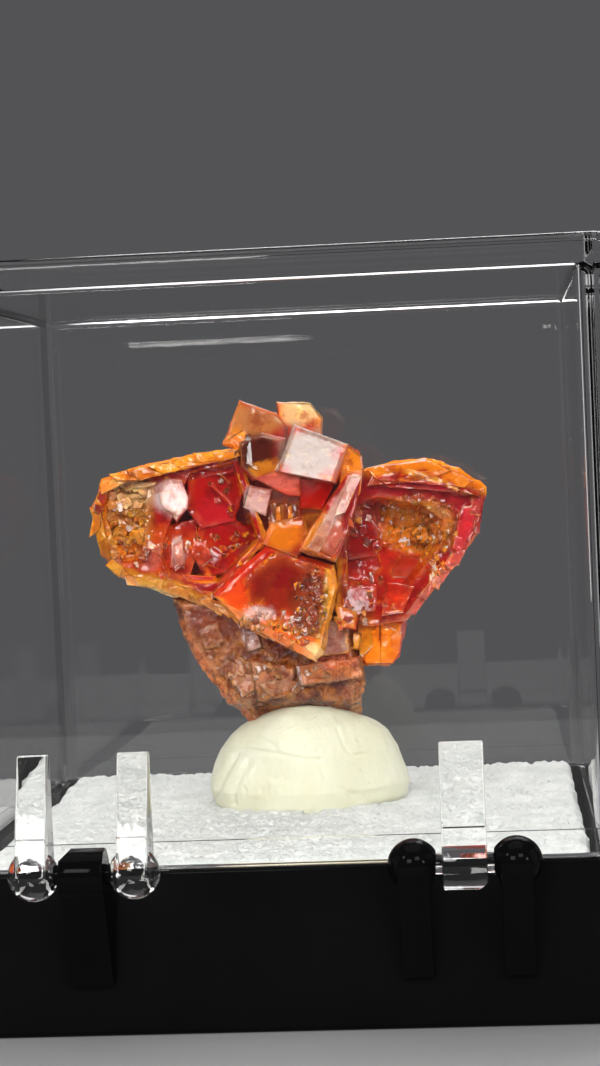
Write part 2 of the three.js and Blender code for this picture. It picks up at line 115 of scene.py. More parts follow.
def finished_piece(mesh, name, nodes, body, material):
    """Puts a mesh in the scene as a piece that stands for CAD nodes."""
    mesh.materials.append(material)
    piece = in_scene(name, mesh)
    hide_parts(*nodes)
    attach(piece, body)
    return piece


def mesh_of(work, name):
    mesh = bpy.data.meshes.new(name)
    work.to_mesh(mesh)
    work.free()
    return mesh


def join_rings(work, lower, upper):
    """Faces between two closed rings with the same number of points."""
    for i in range(len(lower)):
        j = (i + 1) % len(lower)
        work.faces.new((lower[i], lower[j], upper[j], upper[i]))


def shade(mesh, degrees):
    """Smooth shading with edges that stay sharp above an angle."""
    mesh.polygons.foreach_set("use_smooth", [True] * len(mesh.polygons))
    mesh.set_sharp_from_angle(angle=math.radians(degrees))


def with_modifier(mesh, kind, settings, tool=None):
    """The mesh after one modifier, which may work with a second mesh."""
    holders = [in_scene("holder", item) for item in (mesh, tool) if item is not None]
    modifier = holders[0].modifiers.new("step", kind)
    for key, value in settings.items():
        setattr(modifier, key, value)
    if tool is not None:
        modifier.object = holders[1]
    depsgraph = bpy.context.evaluated_depsgraph_get()
    result = bpy.data.meshes.new_from_object(holders[0].evaluated_get(depsgraph), depsgraph=depsgraph)
    for holder in holders:
        used = holder.data
        bpy.data.objects.remove(holder)
        bpy.data.meshes.remove(used)
    return result


def united(meshes):
    result = meshes[0]
    for mesh in meshes[1:]:
        result = with_modifier(result, "BOOLEAN", {"operation": "UNION", "solver": "EXACT"}, mesh)
    return result


def cut(mesh, tool):
    return with_modifier(mesh, "BOOLEAN", {"operation": "DIFFERENCE", "solver": "EXACT"}, tool)


def smoothstep(value, low, high):
    share = np.clip((value - low) / (high - low), 0, 1)
    return share * share * (3 - 2 * share)


def flat_noise(x, y, layer):
    return noise.noise(Vector((x, y, layer)))


def wave_noise(points, size, seed):
    """Soft noise between about -1 and 1 at each point, for features of a size in millimetres."""
    shift = Vector((seed * 7.3, seed * 3.1, seed * 5.7))
    return np.array([noise.noise(Vector(point) / size + shift) for point in points])


def cell_bumps(points, size, seed):
    """Rounded bumps at each point: 1 on top of a bump, 0 between bumps."""
    shift = Vector((seed * 4.1, seed * 9.7, seed * 2.3))
    heights = []
    for point in points:
        near = noise.voronoi(Vector(point) / size + shift)[0]
        heights.append(1 - min(1, near[0] / (0.55 * (near[0] + near[1]) + 0.05)))
    return np.array(heights)


def line_distance(points, line):
    """How far each flat point is from a line of several points."""
    best = np.full(len(points), 1e9)
    for start, end in zip(line, line[1:]):
        start = np.array(start)
        along = np.array(end) - start
        share = np.clip((points - start) @ along / (along @ along), 0, 1)
        gap = points - start - share[:, None] * along
        best = np.minimum(best, np.hypot(gap[:, 0], gap[:, 1]))
    return best


# Moulded plastic shapes
def rounded_square(corner, half, steps=8):
    """Points round a square whose corner arcs have their centres at the corner distance."""
    radius = half - corner
    points = []
    for turn, (sx, sy) in enumerate([(1, 1), (-1, 1), (-1, -1), (1, -1)]):
        for step in range(steps + 1):
            angle = (turn + step / steps) * math.pi / 2
            points.append((sx * corner + radius * math.cos(angle), sy * corner + radius * math.sin(angle)))
    return points


def edge_arc(half, height, radius, first, last, steps=4):
    """Half widths and heights along a rounded edge, from one angle in degrees to another."""
    arc = []
    for step in range(steps + 1):
        angle = math.radians(first + (last - first) * step / steps)
        arc.append((half + radius * math.cos(angle), height + radius * math.sin(angle)))
    return arc


def loft(outside, inside):
    """A shell from outside rings and inside rings, each a half width and a height."""
    work = bmesh.new()
    rings = [(OUTER_CORNER, *ring) for ring in outside] + [(INNER_CORNER, *ring) for ring in inside]
    loops = []
    for corner, half, height in rings:
        outline = rounded_square(corner, half)
        loops.append([work.verts.new((x * MM, y * MM, height * MM)) for x, y in outline])
    for lower, upper in zip(loops, loops[1:]):
        join_rings(work, lower, upper)
    work.faces.new(loops[0])
    work.faces.new(loops[-1])
    bmesh.ops.recalc_face_normals(work, faces=work.faces)
    return mesh_of(work, "shell")


def on_axis(x):
    """A place on the hinge axis, turned so that z runs along it."""
    return Matrix.Translation(Vector((x, AXIS_Y, AXIS_Z)) * MM) @ Matrix.Rotation(math.pi / 2, 4, "Y")


def ball(x):
    work = bmesh.new()
    radius = BALL_RADIUS * MM
    bmesh.ops.create_uvsphere(work, u_segments=36, v_segments=20, radius=radius, matrix=on_axis(x))
    return mesh_of(work, "ball")


def rod(x0, x1, radius, edge=0.0):
    """A round rod on the hinge axis, its end edges rounded."""
    work = bmesh.new()
    bmesh.ops.create_cone(
        work, cap_ends=True, segments=44, radius1=radius * MM, radius2=radius * MM,
        depth=(x1 - x0) * MM, matrix=on_axis((x0 + x1) / 2),
    )
    if edge:
        ends = [e for e in work.edges if any(len(f.verts) > 4 for f in e.link_faces)]
        bmesh.ops.bevel(work, geom=ends, offset=edge * MM, segments=3, affect="EDGES", profile=0.5)
    return mesh_of(work, "rod")


def wedge(x, width, direction):
    """The tapered arm from the hinge axis along the wall, up (1) or down (-1), its edges rounded."""
    foot = -0.12 if direction > 0 else 0.2
    outline = [(-1.058, 0), (0.9, 5.2), (1.55, 5.2), (1.55, foot + 0.02), (1.1, foot), (0, -0.3)]
    work = bmesh.new()
    sides = []
    for side in (x - width / 2, x + width / 2):
        sides.append([work.verts.new((side, AXIS_Y + y, AXIS_Z + direction * along)) for y, along in outline])
    near, far = sides
    work.faces.new(near)
    work.faces.new(far[::-1])
    join_rings(work, far, near)
    bmesh.ops.recalc_face_normals(work, faces=work.faces)
    bmesh.ops.bevel(work, geom=work.edges[:], offset=ARM_EDGE, segments=2, affect="EDGES", profile=0.5)
    bmesh.ops.scale(work, vec=(MM, MM, MM), verts=work.verts)
    return mesh_of(work, "wedge")


def ball_pair(centre, direction):
    """Two balls with their arms, bored for the barrel's pin."""
    bodies = []
    for x in (centre - BALL_SPREAD, centre + BALL_SPREAD):
        bodies.append(ball(x))
        bodies.append(wedge(x, ARM_WIDTH, direction))
    reach = BARREL_HALF + 0.1 + PIN_REACH
    return cut(united(bodies), rod(centre - reach, centre + reach, SOCKET_RADIUS))


def barrel(centre, direction):
    """The barrel with its pin and arm, and the snap-in ramp on its outer end."""
    side = math.copysign(1, centre)
    end = centre + side * BARREL_HALF
    body = rod(centre - BARREL_HALF, centre + BARREL_HALF, BALL_RADIUS, ARM_EDGE)
    work = bmesh.new()
    corners = [(0.2, 0.55), (0.2, 1.25), (-0.55, 1.25)]
    for y in (AXIS_Y - 2, AXIS_Y + 1.35):
        for out, up in corners:
            work.verts.new(Vector((end + side * out, y, AXIS_Z - direction * up)) * MM)
    bmesh.ops.convex_hull(work, input=work.verts)
    body = cut(body, mesh_of(work, "ramp"))
    pin_end = BARREL_HALF + PIN_REACH
    pin = rod(centre - pin_end, centre + pin_end, PIN_RADIUS, 0.06)
    return united([body, wedge(centre, 2 * BARREL_HALF, direction), pin])


def moulded(mesh, name, nodes, body, material):
    """A moulded piece, its flat faces shaded flat up to the rounded edges."""
    shade(mesh, 32)
    mesh = with_modifier(mesh, "WEIGHTED_NORMAL", {"keep_sharp": True, "weight": 80})
    mesh.name = name
    mesh.materials.clear()
    return finished_piece(mesh, name, nodes, body, material)


def make_base(material):
    foot = 0.3
    lip = 0.16
    inner_wall = HALF - WALL
    outside = edge_arc(HALF - foot, foot, foot, -90, 0) + edge_arc(HALF - lip, RIM - lip, lip, 0, 90)
    inside = edge_arc(inner_wall + lip, RIM - lip, lip, 90, 180) + [(inner_wall, BASE_FLOOR)]
    mesh = united([loft(outside, inside), barrel(-HINGE_X, -1), ball_pair(HINGE_X, -1)])
    return moulded(mesh, "base_moulding", ["base"], "case", material)


def make_lid(material):
    crown = 0.5
    lip = 0.1
    ceiling = 0.25
    inner_wall = HALF - WALL
    step_wall = inner_wall + 0.35
    step_height = LID_BOTTOM + 1.1
    outside = edge_arc(HALF - crown, LID_TOP - crown, crown, 90, 0, 6)
    outside += edge_arc(HALF - lip, LID_BOTTOM + lip, lip, 0, -90)
    inside = edge_arc(step_wall + lip, LID_BOTTOM + lip, lip, -90, -180)
    inside += [(step_wall, step_height), (inner_wall, step_height)]
    inside += edge_arc(inner_wall - ceiling, LID_CEILING - ceiling, ceiling, 0, 90)
    mesh = united([loft(outside, inside), ball_pair(-HINGE_X, 1), barrel(HINGE_X, 1)])
    return moulded(mesh, "lid_moulding", ["lid"], "cover", material)


# Foam
def foam_height(x, y):
    """The crinkled top, which lifts a little towards the far edge."""
    fold = 1 - abs(flat_noise(x * 0.8, y * 0.9, 3.0))
    crinkle = 1 - abs(flat_noise(x * 1.9, y * 1.7, 9.0))
    pucker = 1 - abs(flat_noise(x * 3.4, y * 3.0, 17.0))
    lift = 0.3 * float(smoothstep(y, 6.0, 14.0))
    swell = 0.08 * flat_noise(x * 0.22, y * 0.22, 5.0)
    crumple = 0.14 * (fold - 0.85) + 0.3 * (crinkle - 0.85) + 0.3 * (pucker - 0.85)
    return FOAM_TOP + crumple + lift + swell


def make_foam(material):
    count = 250
    border = 0.045
    work = bmesh.new()
    rows = []
    for j in range(count + 1):
        row = []
        for i in range(count + 1):
            u = 2 * i / count - 1
            v = 2 * j / count - 1
            ragged = 0.16 * flat_noise(u * 9, v * 9, 1.0) + 0.1 * flat_noise(u * 31, v * 31, 2.0)
            edge = max(abs(u), abs(v))
            reach = FOAM_HALF - (0.25 - ragged) * edge ** 6
            x = u * reach
            y = v * reach
            drop = 0.4 * max(0, (edge - (1 - border)) / border) ** 2.5
            row.append(work.verts.new((x, y, foam_height(x, y) - drop)))
        rows.append(row)
    for lower, upper in zip(rows, rows[1:]):
        for i in range(count):
            work.faces.new((lower[i], lower[i + 1], upper[i + 1], upper[i]))
    rim = rows[0][:-1] + [row[-1] for row in rows[:-1]] + rows[-1][:0:-1] + [row[0] for row in rows[:0:-1]]
    foot = [work.verts.new((v.co.x, v.co.y, BASE_FLOOR + 0.05)) for v in rim]
    join_rings(work, foot, rim)
    work.faces.new(foot)
    bmesh.ops.scale(work, vec=(MM, MM, MM), verts=work.verts)
    bmesh.ops.recalc_face_normals(work, faces=work.faces)
    mesh = mesh_of(work, "foam_sheet")
    shade(mesh, 60)
    piece = finished_piece(mesh, "foam_sheet", ["foam_pad"], "case", material)
    return piece


# Putty
PUTTY_PROFILE = [
    (0.0, 0.92), (0.06, 0.96), (0.2, 1.0), (0.3, 0.985), (0.44, 0.94), (0.55, 0.885), (0.71, 0.765),
    (0.8, 0.665), (0.9, 0.5), (0.96, 0.33), (1.0, 0.0),
]
# The front is fuller than the sides and the back: its half depth is the half width to this power
PUTTY_FRONT = 0.5
# Creases pressed in the front, by distance across and seen height
CREASES = [
    ([(-3.94, 3.5), (-2.69, 3.46), (-1.2, 3.2), (0.26, 2.84), (1.1, 2.8)], 0.07, 0.09),
    ([(0.95, 3.3), (1.0, 2.6), (1.3, 1.9), (1.9, 1.3), (2.6, 0.95)], 0.06, 0.14),
    ([(2.6, 0.95), (3.6, 0.95), (4.6, 1.2)], 0.04, 0.2),
    ([(1.9, 4.4), (2.1, 3.9), (2.25, 3.5), (2.45, 3.2), (2.75, 3.0), (3.35, 3.05)], 0.06, 0.075),
    ([(-4.6, 1.0), (-4.0, 2.2), (-3.3, 3.2)], 0.07, 0.14),
    ([(-3.6, 0.7), (-3.4, 1.6), (-2.7, 2.9)], 0.07, 0.16),
    ([(-2.2, 4.1), (-1.4, 3.7), (-1.1, 3.3)], 0.04, 0.09),
]


def putty_relief(across, seen):
    """How far the surface is pressed in or raised, in millimetres, at points on the front."""
    flat = np.column_stack([across, seen])
    relief = np.zeros(len(across))
    for line, depth, width in CREASES:
        gap = line_distance(flat, line)
        relief -= depth * np.exp(-((gap / width) ** 2))
        relief += 0.3 * depth * np.exp(-(((gap - 2.4 * width) / (1.6 * width)) ** 2))
    prints = smoothstep(across, -3.4, -2.6) * (1 - smoothstep(across, -1.6, 0.6))
    prints *= smoothstep(seen, 0.5, 1.0) * (1 - smoothstep(seen, 2.4, 3.0))
    ripple = np.array([flat_noise(a * 0.8, b * 0.8, 4.0) for a, b in flat])
    fade = np.array([flat_noise(a * 1.5, b * 1.1, 8.0) for a, b in flat])
    fade = np.clip(0.3 + 1.5 * fade, 0, 1)
    relief += 0.035 * prints * fade * np.sin(across * 17 + 2.5 * seen + 11 * ripple)
    arcs = smoothstep(seen, 3.9, 4.3) * smoothstep(across, -1.8, -1.0) * (1 - smoothstep(across, 1.0, 1.8))
    relief += 0.02 * arcs * fade * np.sin(seen * 30 - across * 9 + 14 * ripple)
    pit = np.hypot(across - 2.95, seen - 3.76)
    relief -= 0.07 * np.exp(-((pit / 0.08) ** 2))
    dent = np.hypot((across + 2.2) / 1.5, (seen - 1.8) / 1.3)
    relief -= 0.08 * np.exp(-(dent ** 2))
    return relief


def make_putty(material):
    around = 320
    up_steps = 150
    angles = np.arange(around) * 2 * math.pi / around
    heights = np.sin(np.linspace(0, math.pi / 2, up_steps + 1))
    profile_up = np.array([up for up, out in PUTTY_PROFILE])
    profile_out = np.array([out for up, out in PUTTY_PROFILE])
    rows = []
    for up in heights[:-1]:
        out = np.interp(up, profile_up, profile_out)
        lump = 1 + 0.035 * np.sin(3 * angles + 0.6) + 0.02 * np.sin(5 * angles + 2.1 + 2 * up)
        x = np.cos(angles) * out * lump
        deep = np.where(np.sin(angles) < 0, out ** PUTTY_FRONT, out)
        y = np.sin(angles) * deep * lump
        x = x * (1 - 0.06 * np.maximum(0, -x) * up)
        x = x * (1 + 0.09 * np.maximum(0, x) * math.exp(-((up - 0.75) / 0.2) ** 2))
        z = np.full(around, up * PUTTY_HEIGHT)
        rows.append(np.column_stack([x * PUTTY_HALF[0], y * PUTTY_HALF[1], z]))
    points = np.concatenate(rows + [np.array([[0.1, 0.0, PUTTY_HEIGHT]])])
    crest = np.exp(-(((points[:, 1] + 2.2) / 1.7) ** 2))
    points[:, 2] *= 1 + 0.07 * crest * smoothstep(points[:, 2], 2.0, 4.6)
    centre = np.array([0, 0, PUTTY_HEIGHT * 0.4])
    out = points - centre
    out /= np.linalg.norm(out, axis=1)[:, None]
    # The camera looks down a little, so points farther back are seen higher
    view_slope = 0.14
    seen = points[:, 2] + view_slope * (points[:, 1] + PUTTY_HALF[1])
    front = 1 - smoothstep(points[:, 1], -0.5, 1.5)
    relief = front * putty_relief(points[:, 0], seen)
    relief += 0.1 * wave_noise(points, 2.6, 1.0) + 0.035 * wave_noise(points, 0.8, 2.0)
    relief += 0.015 * wave_noise(points, 0.3, 2.5)
    smear = np.column_stack([points[:, 0] * 2.2, points[:, 1] * 2.2, points[:, 2] * 0.5])
    relief += 0.02 * wave_noise(smear, 0.8, 3.0)
    relief *= smoothstep(points[:, 2], 0.0, 0.5)
    points = points + out * relief[:, None]
    points += np.array([*PUTTY_CENTRE, FOAM_TOP - PUTTY_SUNK])
    work = bmesh.new()
    verts = [work.verts.new(Vector(point) * MM) for point in points]
    rings = [verts[start:start + around] for start in range(0, up_steps * around, around)]
    for lower, upper in zip(rings, rings[1:]):
        join_rings(work, lower, upper)
    for i in range(around):
        work.faces.new((rings[-1][i], rings[-1][(i + 1) % around], verts[-1]))
    work.faces.new(rings[0][::-1])
    mesh = mesh_of(work, "putty_ball")
    shade(mesh, 60)
    return finished_piece(mesh, "putty_ball", ["putty"], "case", material)


# Specimen
TURN = np.array(
    Matrix.Rotation(math.radians(SPECIMEN_TURN), 3, "Z")
    @ Matrix.Rotation(math.radians(SPECIMEN_LEAN), 3, "Y")
)


def to_local(points):
    """Points in millimetres in the specimen's own frame: x across the front, y into depth, z up."""
    return (points / MM - SPECIMEN_AT) @ TURN


def to_scene(local):
    return (local @ TURN.T + SPECIMEN_AT) * MM


def add_block(work, outline, front, back, tilt=(0, 0), chamfer=0.08, shrink=0.85):
    """A crystal with a flat front face and sides that run back to a smaller end, in the specimen's frame."""
    outline = np.array(outline)
    middle = outline.mean(axis=0)
    points = []
    for offset in outline - middle:
        inset = 1 - chamfer / np.hypot(*offset)
        depth = front + float(np.dot(tilt, offset))
        points.append((*(middle + offset * inset), depth))
        points.append((*(middle + offset), depth + chamfer))
        points.append((*(middle + offset * shrink), back))
    verts = [work.verts.new(place) for place in to_scene(np.array(points)[:, [0, 2, 1]])]
    made = bmesh.ops.convex_hull(work, input=verts)
    spare = [item for item in made["geom_interior"] if isinstance(item, bmesh.types.BMVert)]
    bmesh.ops.delete(work, geom=spare, context="VERTS")


def surface_depth(tree, x, z):
    """The depth of the first surface met from the front, or None beside the specimen."""
    before = -9.0
    reach = 0.013
    start = Vector(to_scene(np.array([x, before, z])))
    hit = tree.ray_cast(start, Vector(TURN[:, 1]), reach)[0]
    return None if hit is None else to_local(np.array([hit[:]]))[0][1]


def add_plate(work, outline, tilt, rise=0.12):
    """A flat plate that stands a little out of the surface behind its middle."""
    middle = np.mean(outline, axis=0)
    front = surface_depth(BVHTree.FromBMesh(work), *middle) - rise
    add_block(work, outline, front, front + 1.2, tilt, chamfer=0.04, shrink=0.95)


def add_shards(work, seed, count, centre, spread, size):
    """Small crystals with differently turned faces that sit on the surface, scattered over a patch."""
    random = np.random.default_rng(seed)
    tree = BVHTree.FromBMesh(work)
    for step in range(count):
        reach = math.sqrt(random.random())
        angle = random.random() * 2 * math.pi
        x = centre[0] + spread[0] * reach * math.cos(angle)
        z = centre[1] + spread[1] * reach * math.sin(angle)
        turn = random.random() * math.pi
        corners = []
        for corner in range(random.integers(4, 7)):
            bend = turn + corner * 1.15 + 0.3 * random.random()
            radius = size * (0.5 + 0.7 * random.random())
            corners.append((x + radius * math.cos(bend), z + 1.2 * radius * math.sin(bend)))
        tilt = random.uniform(-0.45, 0.45, 2)
        depth = surface_depth(tree, x, z)
        if depth is not None:
            front = depth - size * random.uniform(0.15, 0.5)
            add_block(work, corners, front, front + 0.5, tilt, chamfer=0.05, shrink=0.9)


def add_rim(work, seed, line, count, width, front, tilt):
    """Small overlapping plates along a crystal's rim."""
    random = np.random.default_rng(seed)
    line = np.array(line)
    along = np.concatenate([[0], np.cumsum(np.hypot(*np.diff(line, axis=0).T))])
    for step in range(count):
        stops = along[-1] * (step + np.array([0.2, 0.8])) / count
        ends = np.column_stack([np.interp(stops, along, line[:, 0]), np.interp(stops, along, line[:, 1])])
        centre = ends.mean(axis=0)
        direction = (ends[1] - ends[0]) / np.hypot(*(ends[1] - ends[0]))
        across = np.array([-direction[1], direction[0]])
        half = along[-1] / count * random.uniform(0.6, 2.2)
        corners = []
        for end, side in ((-1, 1), (1, 1), (1, -1), (-1, -1)):
            reach = random.uniform(0.45, 1.35, 2)
            corners.append(centre + direction * half * end * reach[0] + across * width * side * reach[1])
        depth = front + random.uniform(-0.06, 0.16)
        lean = np.array(tilt) + random.uniform(-0.11, 0.11, 2)
        add_block(work, corners, depth, depth + 1.3, lean, chamfer=0.05, shrink=0.95)


def mark_facets(work):
    """Gives the faces of each flat facet one number, and returns the facets' middles, normals and areas."""
    same_way = 0.985
    layer = work.faces.layers.int.new("facet")
    middles = []
    normals = []
    areas = []
    for seed_face in work.faces:
        if seed_face[layer]:
            continue
        number = len(areas) + 1
        seed_face[layer] = number
        members = [seed_face]
        for face in members:
            for edge in face.edges:
                for other in edge.link_faces:
                    if not other[layer] and other.normal.dot(seed_face.normal) > same_way:
                        other[layer] = number
                        members.append(other)
        weights = np.array([face.calc_area() + 1e-14 for face in members])
        places = np.array([face.calc_center_median()[:] for face in members])
        middles.append(weights @ places / weights.sum())
        normals.append(seed_face.normal[:])
        areas.append(weights.sum() / MM ** 2)
    return np.array(middles), np.array(normals), np.array(areas)


def welded(node):
    """A copy of a CAD node with shared points."""
    work = bmesh.new()
    work.from_mesh(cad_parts[node].data)
    bmesh.ops.remove_doubles(work, verts=work.verts, dist=NEAR)
    bmesh.ops.dissolve_degenerate(work, edges=work.edges, dist=NEAR)
    return work


def refine(work, longest):
    """Splits every edge until it is shorter than longest(middle points)."""
    for step in range(7):
        edges = list(work.edges)
        ends = np.array([[*e.verts[0].co, *e.verts[1].co] for e in edges])
        middles = to_local((ends[:, :3] + ends[:, 3:]) / 2)
        lengths = np.linalg.norm(ends[:, :3] - ends[:, 3:], axis=1) / MM
        long_edges = [e for e, is_long in zip(edges, lengths > longest(middles)) if is_long]
        if not long_edges:
            break
        bmesh.ops.subdivide_edges(work, edges=long_edges, cuts=1)
        bmesh.ops.triangulate(work, faces=[f for f in work.faces if len(f.verts) > 3])
    work.verts.ensure_lookup_table()


def sharp_edges(work):
    """1 at each point on a sharp outer edge, -1 on a sharp inner edge, 0 elsewhere."""
    sharp_angle = 0.5
    work.normal_update()
    work.verts.index_update()
    marks = np.zeros(len(work.verts))
    for e in work.edges:
        if len(e.link_faces) == 2 and e.calc_face_angle(0) > sharp_angle:
            sign = 1 if e.calc_face_angle_signed(0) > 0 else -1
            for v in e.verts:
                marks[v.index] = sign
    return marks


def covered(tree, place, direction):
    """Whether a place is inside a solid: on the way out more shells are left than entered."""
    reach = 0.03
    shells = 0
    hit, normal, number, distance = tree.ray_cast(place, direction, reach)
    while hit is not None:
        shells += 1 if normal.dot(direction) > 0 else -1
        hit, normal, number, distance = tree.ray_cast(hit + direction * NEAR, direction, reach)
    return shells > 0


def drop_hidden(work, tree):
    """Takes away the small faces that lie inside another crystal."""
    longest = 0.6 * MM
    hidden = []
    for face in work.faces:
        if max(edge.calc_length() for edge in face.edges) > longest:
            continue
        middle = face.calc_center_median()
        lift = face.normal * CLEAR
        places = [middle] + [middle.lerp(vert.co, 0.9) for vert in face.verts]
        if all(covered(tree, place + lift, face.normal) for place in places):
            hidden.append(face)
    bmesh.ops.delete(work, geom=hidden, context="FACES")


def thickness(tree, points, normals):
    """How far it is through the crystals behind each point, in millimetres, up to 5."""
    most = 0.005
    depths = []
    for point, normal in zip(points, normals):
        inward = -Vector(normal)
        place = Vector(point)
        shells = 1
        travelled = 0.0
        while shells > 0 and travelled < most:
            hit, face_normal, number, distance = tree.ray_cast(place + inward * CLEAR, inward, most)
            if hit is None:
                travelled = most
                break
            travelled += distance + CLEAR
            shells += 1 if face_normal.dot(inward) < 0 else -1
            place = hit
        depths.append(min(travelled, most) / MM)
    return np.array(depths)


def blob(centre, across, up):
    return {"centre": centre, "spread": (across, up)}


def stroke(width, *line):
    return {"line": line, "width": width}


def zone_weight(zone, local, fray=0):
    """How far each point is inside a zone, from 0 to 1, with a frayed border."""
    flat = local[:, [0, 2]]
    if "line" in zone:
        gap = line_distance(flat, zone["line"]) / zone["width"]
    else:
        offset = (flat - np.array(zone["centre"])) / np.array(zone["spread"])
        gap = np.hypot(offset[:, 0], offset[:, 1])
    return 1 - smoothstep(gap + 0.35 * fray, 0.65, 1.2)


# Zones on the specimen's front, in its own frame: colours are painted in the order of the list
CRYSTAL_ZONES = [
    (blob((-4.4, 11.0), 2.0, 2.2), DEEP_RED, 0.9),
    (blob((-4.0, 10.7), 1.1, 1.0), MAGENTA, 0.5),
    (blob((-6.6, 8.7), 2.2, 1.3), RED_ORANGE, 0.8),
    (blob((-8.6, 10.1), 1.3, 1.9), AMBER, 0.8),
    # Pale cream bands at the left end: partly own colour, partly painted highlight of glinting bands
    (blob((-8.3, 11.5), 1.2, 0.9), CREAM, 0.6),
    (blob((-7.3, 8.3), 0.6, 0.7), PINK, 0.7),
    (blob((-5.95, 8.5), 0.4, 0.9), LAVENDER, 0.7),
    # Pale pink on the bright hexagonal facet: partly own colour, partly painted highlight
    (blob((-6.3, 11.3), 0.8, 1.0), PALE_PINK, 0.8),
    # Bright orange along the left crystal's thin rim: partly own colour, partly painted glow of light through
    # it
    (stroke(0.45, (-9.9, 12.5), (-7.0, 13.2), (-2.8, 13.8)), ORANGE, 0.95),
    (stroke(0.35, (-10.3, 10.4), (-9.8, 8.6), (-9.0, 7.7)), AMBER, 0.9),
    (stroke(0.5, (-9.3, 7.4), (-6.0, 6.6), (-3.4, 5.4)), AMBER, 0.95),
    (stroke(0.28, (-9.0, 7.15), (-6.2, 6.3), (-4.0, 5.5)), CREAM, 0.8),
    (blob((-2.7, 7.0), 1.2, 1.4), RED, 0.7),
    (blob((-3.1, 6.7), 0.7, 0.8), RED_ORANGE, 0.6),
    (blob((-0.7, 7.0), 1.6, 1.6), GARNET, 0.8),
    (blob((0.8, 6.0), 1.0, 1.9), RUST, 0.85),
    (stroke(0.45, (2.1, 7.9), (2.0, 6.0), (1.5, 3.8)), AMBER, 0.95),
    (stroke(0.3, (-3.9, 5.8), (-2.4, 5.0), (1.0, 3.3)), TAN, 0.7),
    # Pale pink patch of flat bright facets on the slab: partly own colour, partly painted highlight
    (blob((-1.8, 5.5), 0.8, 0.4), PALE_PINK, 0.65),
    (blob((0.9, 3.5), 0.5, 0.5), CREAM, 0.8),
    (blob((-0.4, 9.5), 1.1, 0.9), ORANGE, 0.85),
    (blob((1.2, 9.7), 0.9, 1.3), AMBER, 0.8),
    (blob((2.1, 9.4), 0.5, 0.9), PINK, 0.8),
    (stroke(0.35, (3.1, 12.3), (1.9, 10.3)), PALE_PINK, 0.7),
    (blob((-2.2, 15.1), 1.4, 1.2), TAN, 0.9),
    (blob((-3.1, 14.4), 0.6, 0.6), ORANGE, 0.7),
    (blob((0.3, 15.8), 1.2, 0.7), CREAM, 0.9),
    (blob((1.4, 15.2), 0.4, 0.8), AMBER, 0.7),
    (blob((0.9, 13.6), 1.9, 1.5), ROSE, 0.95),
    (blob((-0.6, 12.0), 1.0, 0.45), PINK, 0.8),
    (blob((-1.8, 13.6), 1.15, 1.15), UMBER, 1.0),
    (stroke(0.35, (-1.9, 12.8), (-1.0, 13.1)), AMBER, 0.85),
    (blob((-0.6, 10.6), 0.9, 0.5), BROWN, 0.8),
    (blob((-1.9, 11.2), 0.75, 0.75), LAVENDER, 0.9),
    (blob((3.0, 13.4), 0.6, 0.9), ORANGE, 0.85),
    (blob((1.2, 11.4), 0.9, 0.7), DEEP_RED, 0.9),
    (blob((6.4, 10.0), 2.2, 1.7), AMBER, 0.7),
    (stroke(0.5, (3.5, 12.0), (7.4, 11.7), (9.3, 10.6), (8.8, 8.7)), MAGENTA, 0.8),
    # Bright orange along the right crystal's thin rim: partly own colour, partly painted glow of light
    # through it
    (stroke(0.5, (3.7, 12.9), (6.8, 13.3), (9.6, 12.0)), ORANGE, 0.95),
    (blob((3.5, 9.6), 0.9, 2.2), DEEP_RED, 0.9),
    (blob((4.6, 7.4), 1.8, 1.3), RED, 0.8),
    (blob((5.8, 7.7), 1.2, 0.5), RED_ORANGE, 0.3),
    (blob((3.4, 6.2), 0.9, 0.8), GARNET, 0.7),
    (blob((3.3, 9.2), 0.9, 1.6), GARNET, 0.6),
    (blob((7.4, 10.2), 0.9, 0.8), TAN, 0.6),
    (stroke(0.4, (8.6, 8.2), (7.0, 6.4), (5.9, 5.0), (5.6, 3.4)), PINK, 0.7),
    (blob((4.3, 3.9), 0.9, 1.3), ORANGE, 0.85),
    (blob((2.2, 4.0), 0.7, 0.7), LAVENDER, 0.8),
    (blob((3.1, 4.8), 0.5, 0.5), RED, 0.8),
]
ETCHED_ZONES = [
    blob((-8.5, 10.0), 1.1, 1.7),
    blob((-8.0, 8.6), 0.8, 0.8),
    blob((6.4, 10.0), 2.0, 1.5),
    blob((7.6, 9.0), 1.0, 1.0),
    stroke(0.75, (1.2, 7.2), (1.0, 5.8), (0.5, 4.6)),
    stroke(0.5, (-2.2, 5.5), (-0.6, 5.0), (0.5, 4.3)),
]
CLEAN_ZONES = [blob((0.0, 13.2), 3.2, 2.7), blob((-6.15, 11.35), 1.0, 1.25)]
MATRIX_ZONES = [
    (blob((-4.0, 4.2), 1.5, 1.0), GOLD, 0.6),
    (blob((-4.2, 5.0), 2.0, 0.9), RUST, 0.85),
    (stroke(0.35, (-6.0, 5.2), (-5.4, 3.8), (-4.2, 2.3), (-2.4, 0.3)), TAN, 0.7),
    (blob((-2.2, 4.2), 0.5, 0.9), LAVENDER, 0.7),
    (blob((-2.5, 1.8), 0.5, 0.6), PALE_STONE, 0.85),
    (blob((-0.8, 1.7), 0.9, 0.35), PALE_STONE, 0.85),
    (blob((-0.7, 4.0), 1.2, 0.6), RUST, 0.6),
    (blob((2.1, 3.0), 1.4, 0.5), PINK, 0.5),
    (blob((1.0, 0.6), 1.2, 0.5), BROWN, 0.8),
    (stroke(0.35, (3.4, 2.4), (3.3, 0.2)), TAN, 0.8),
]


def paint(local, zones, colours, front, fray=0):
    """Lays the zones' colours over the points' own, on the front only."""
    for zone, colour, strength in zones:
        weight = (strength * front * zone_weight(zone, local, fray))[:, None]
        colours = colours * (1 - weight) + colour * weight
    return colours


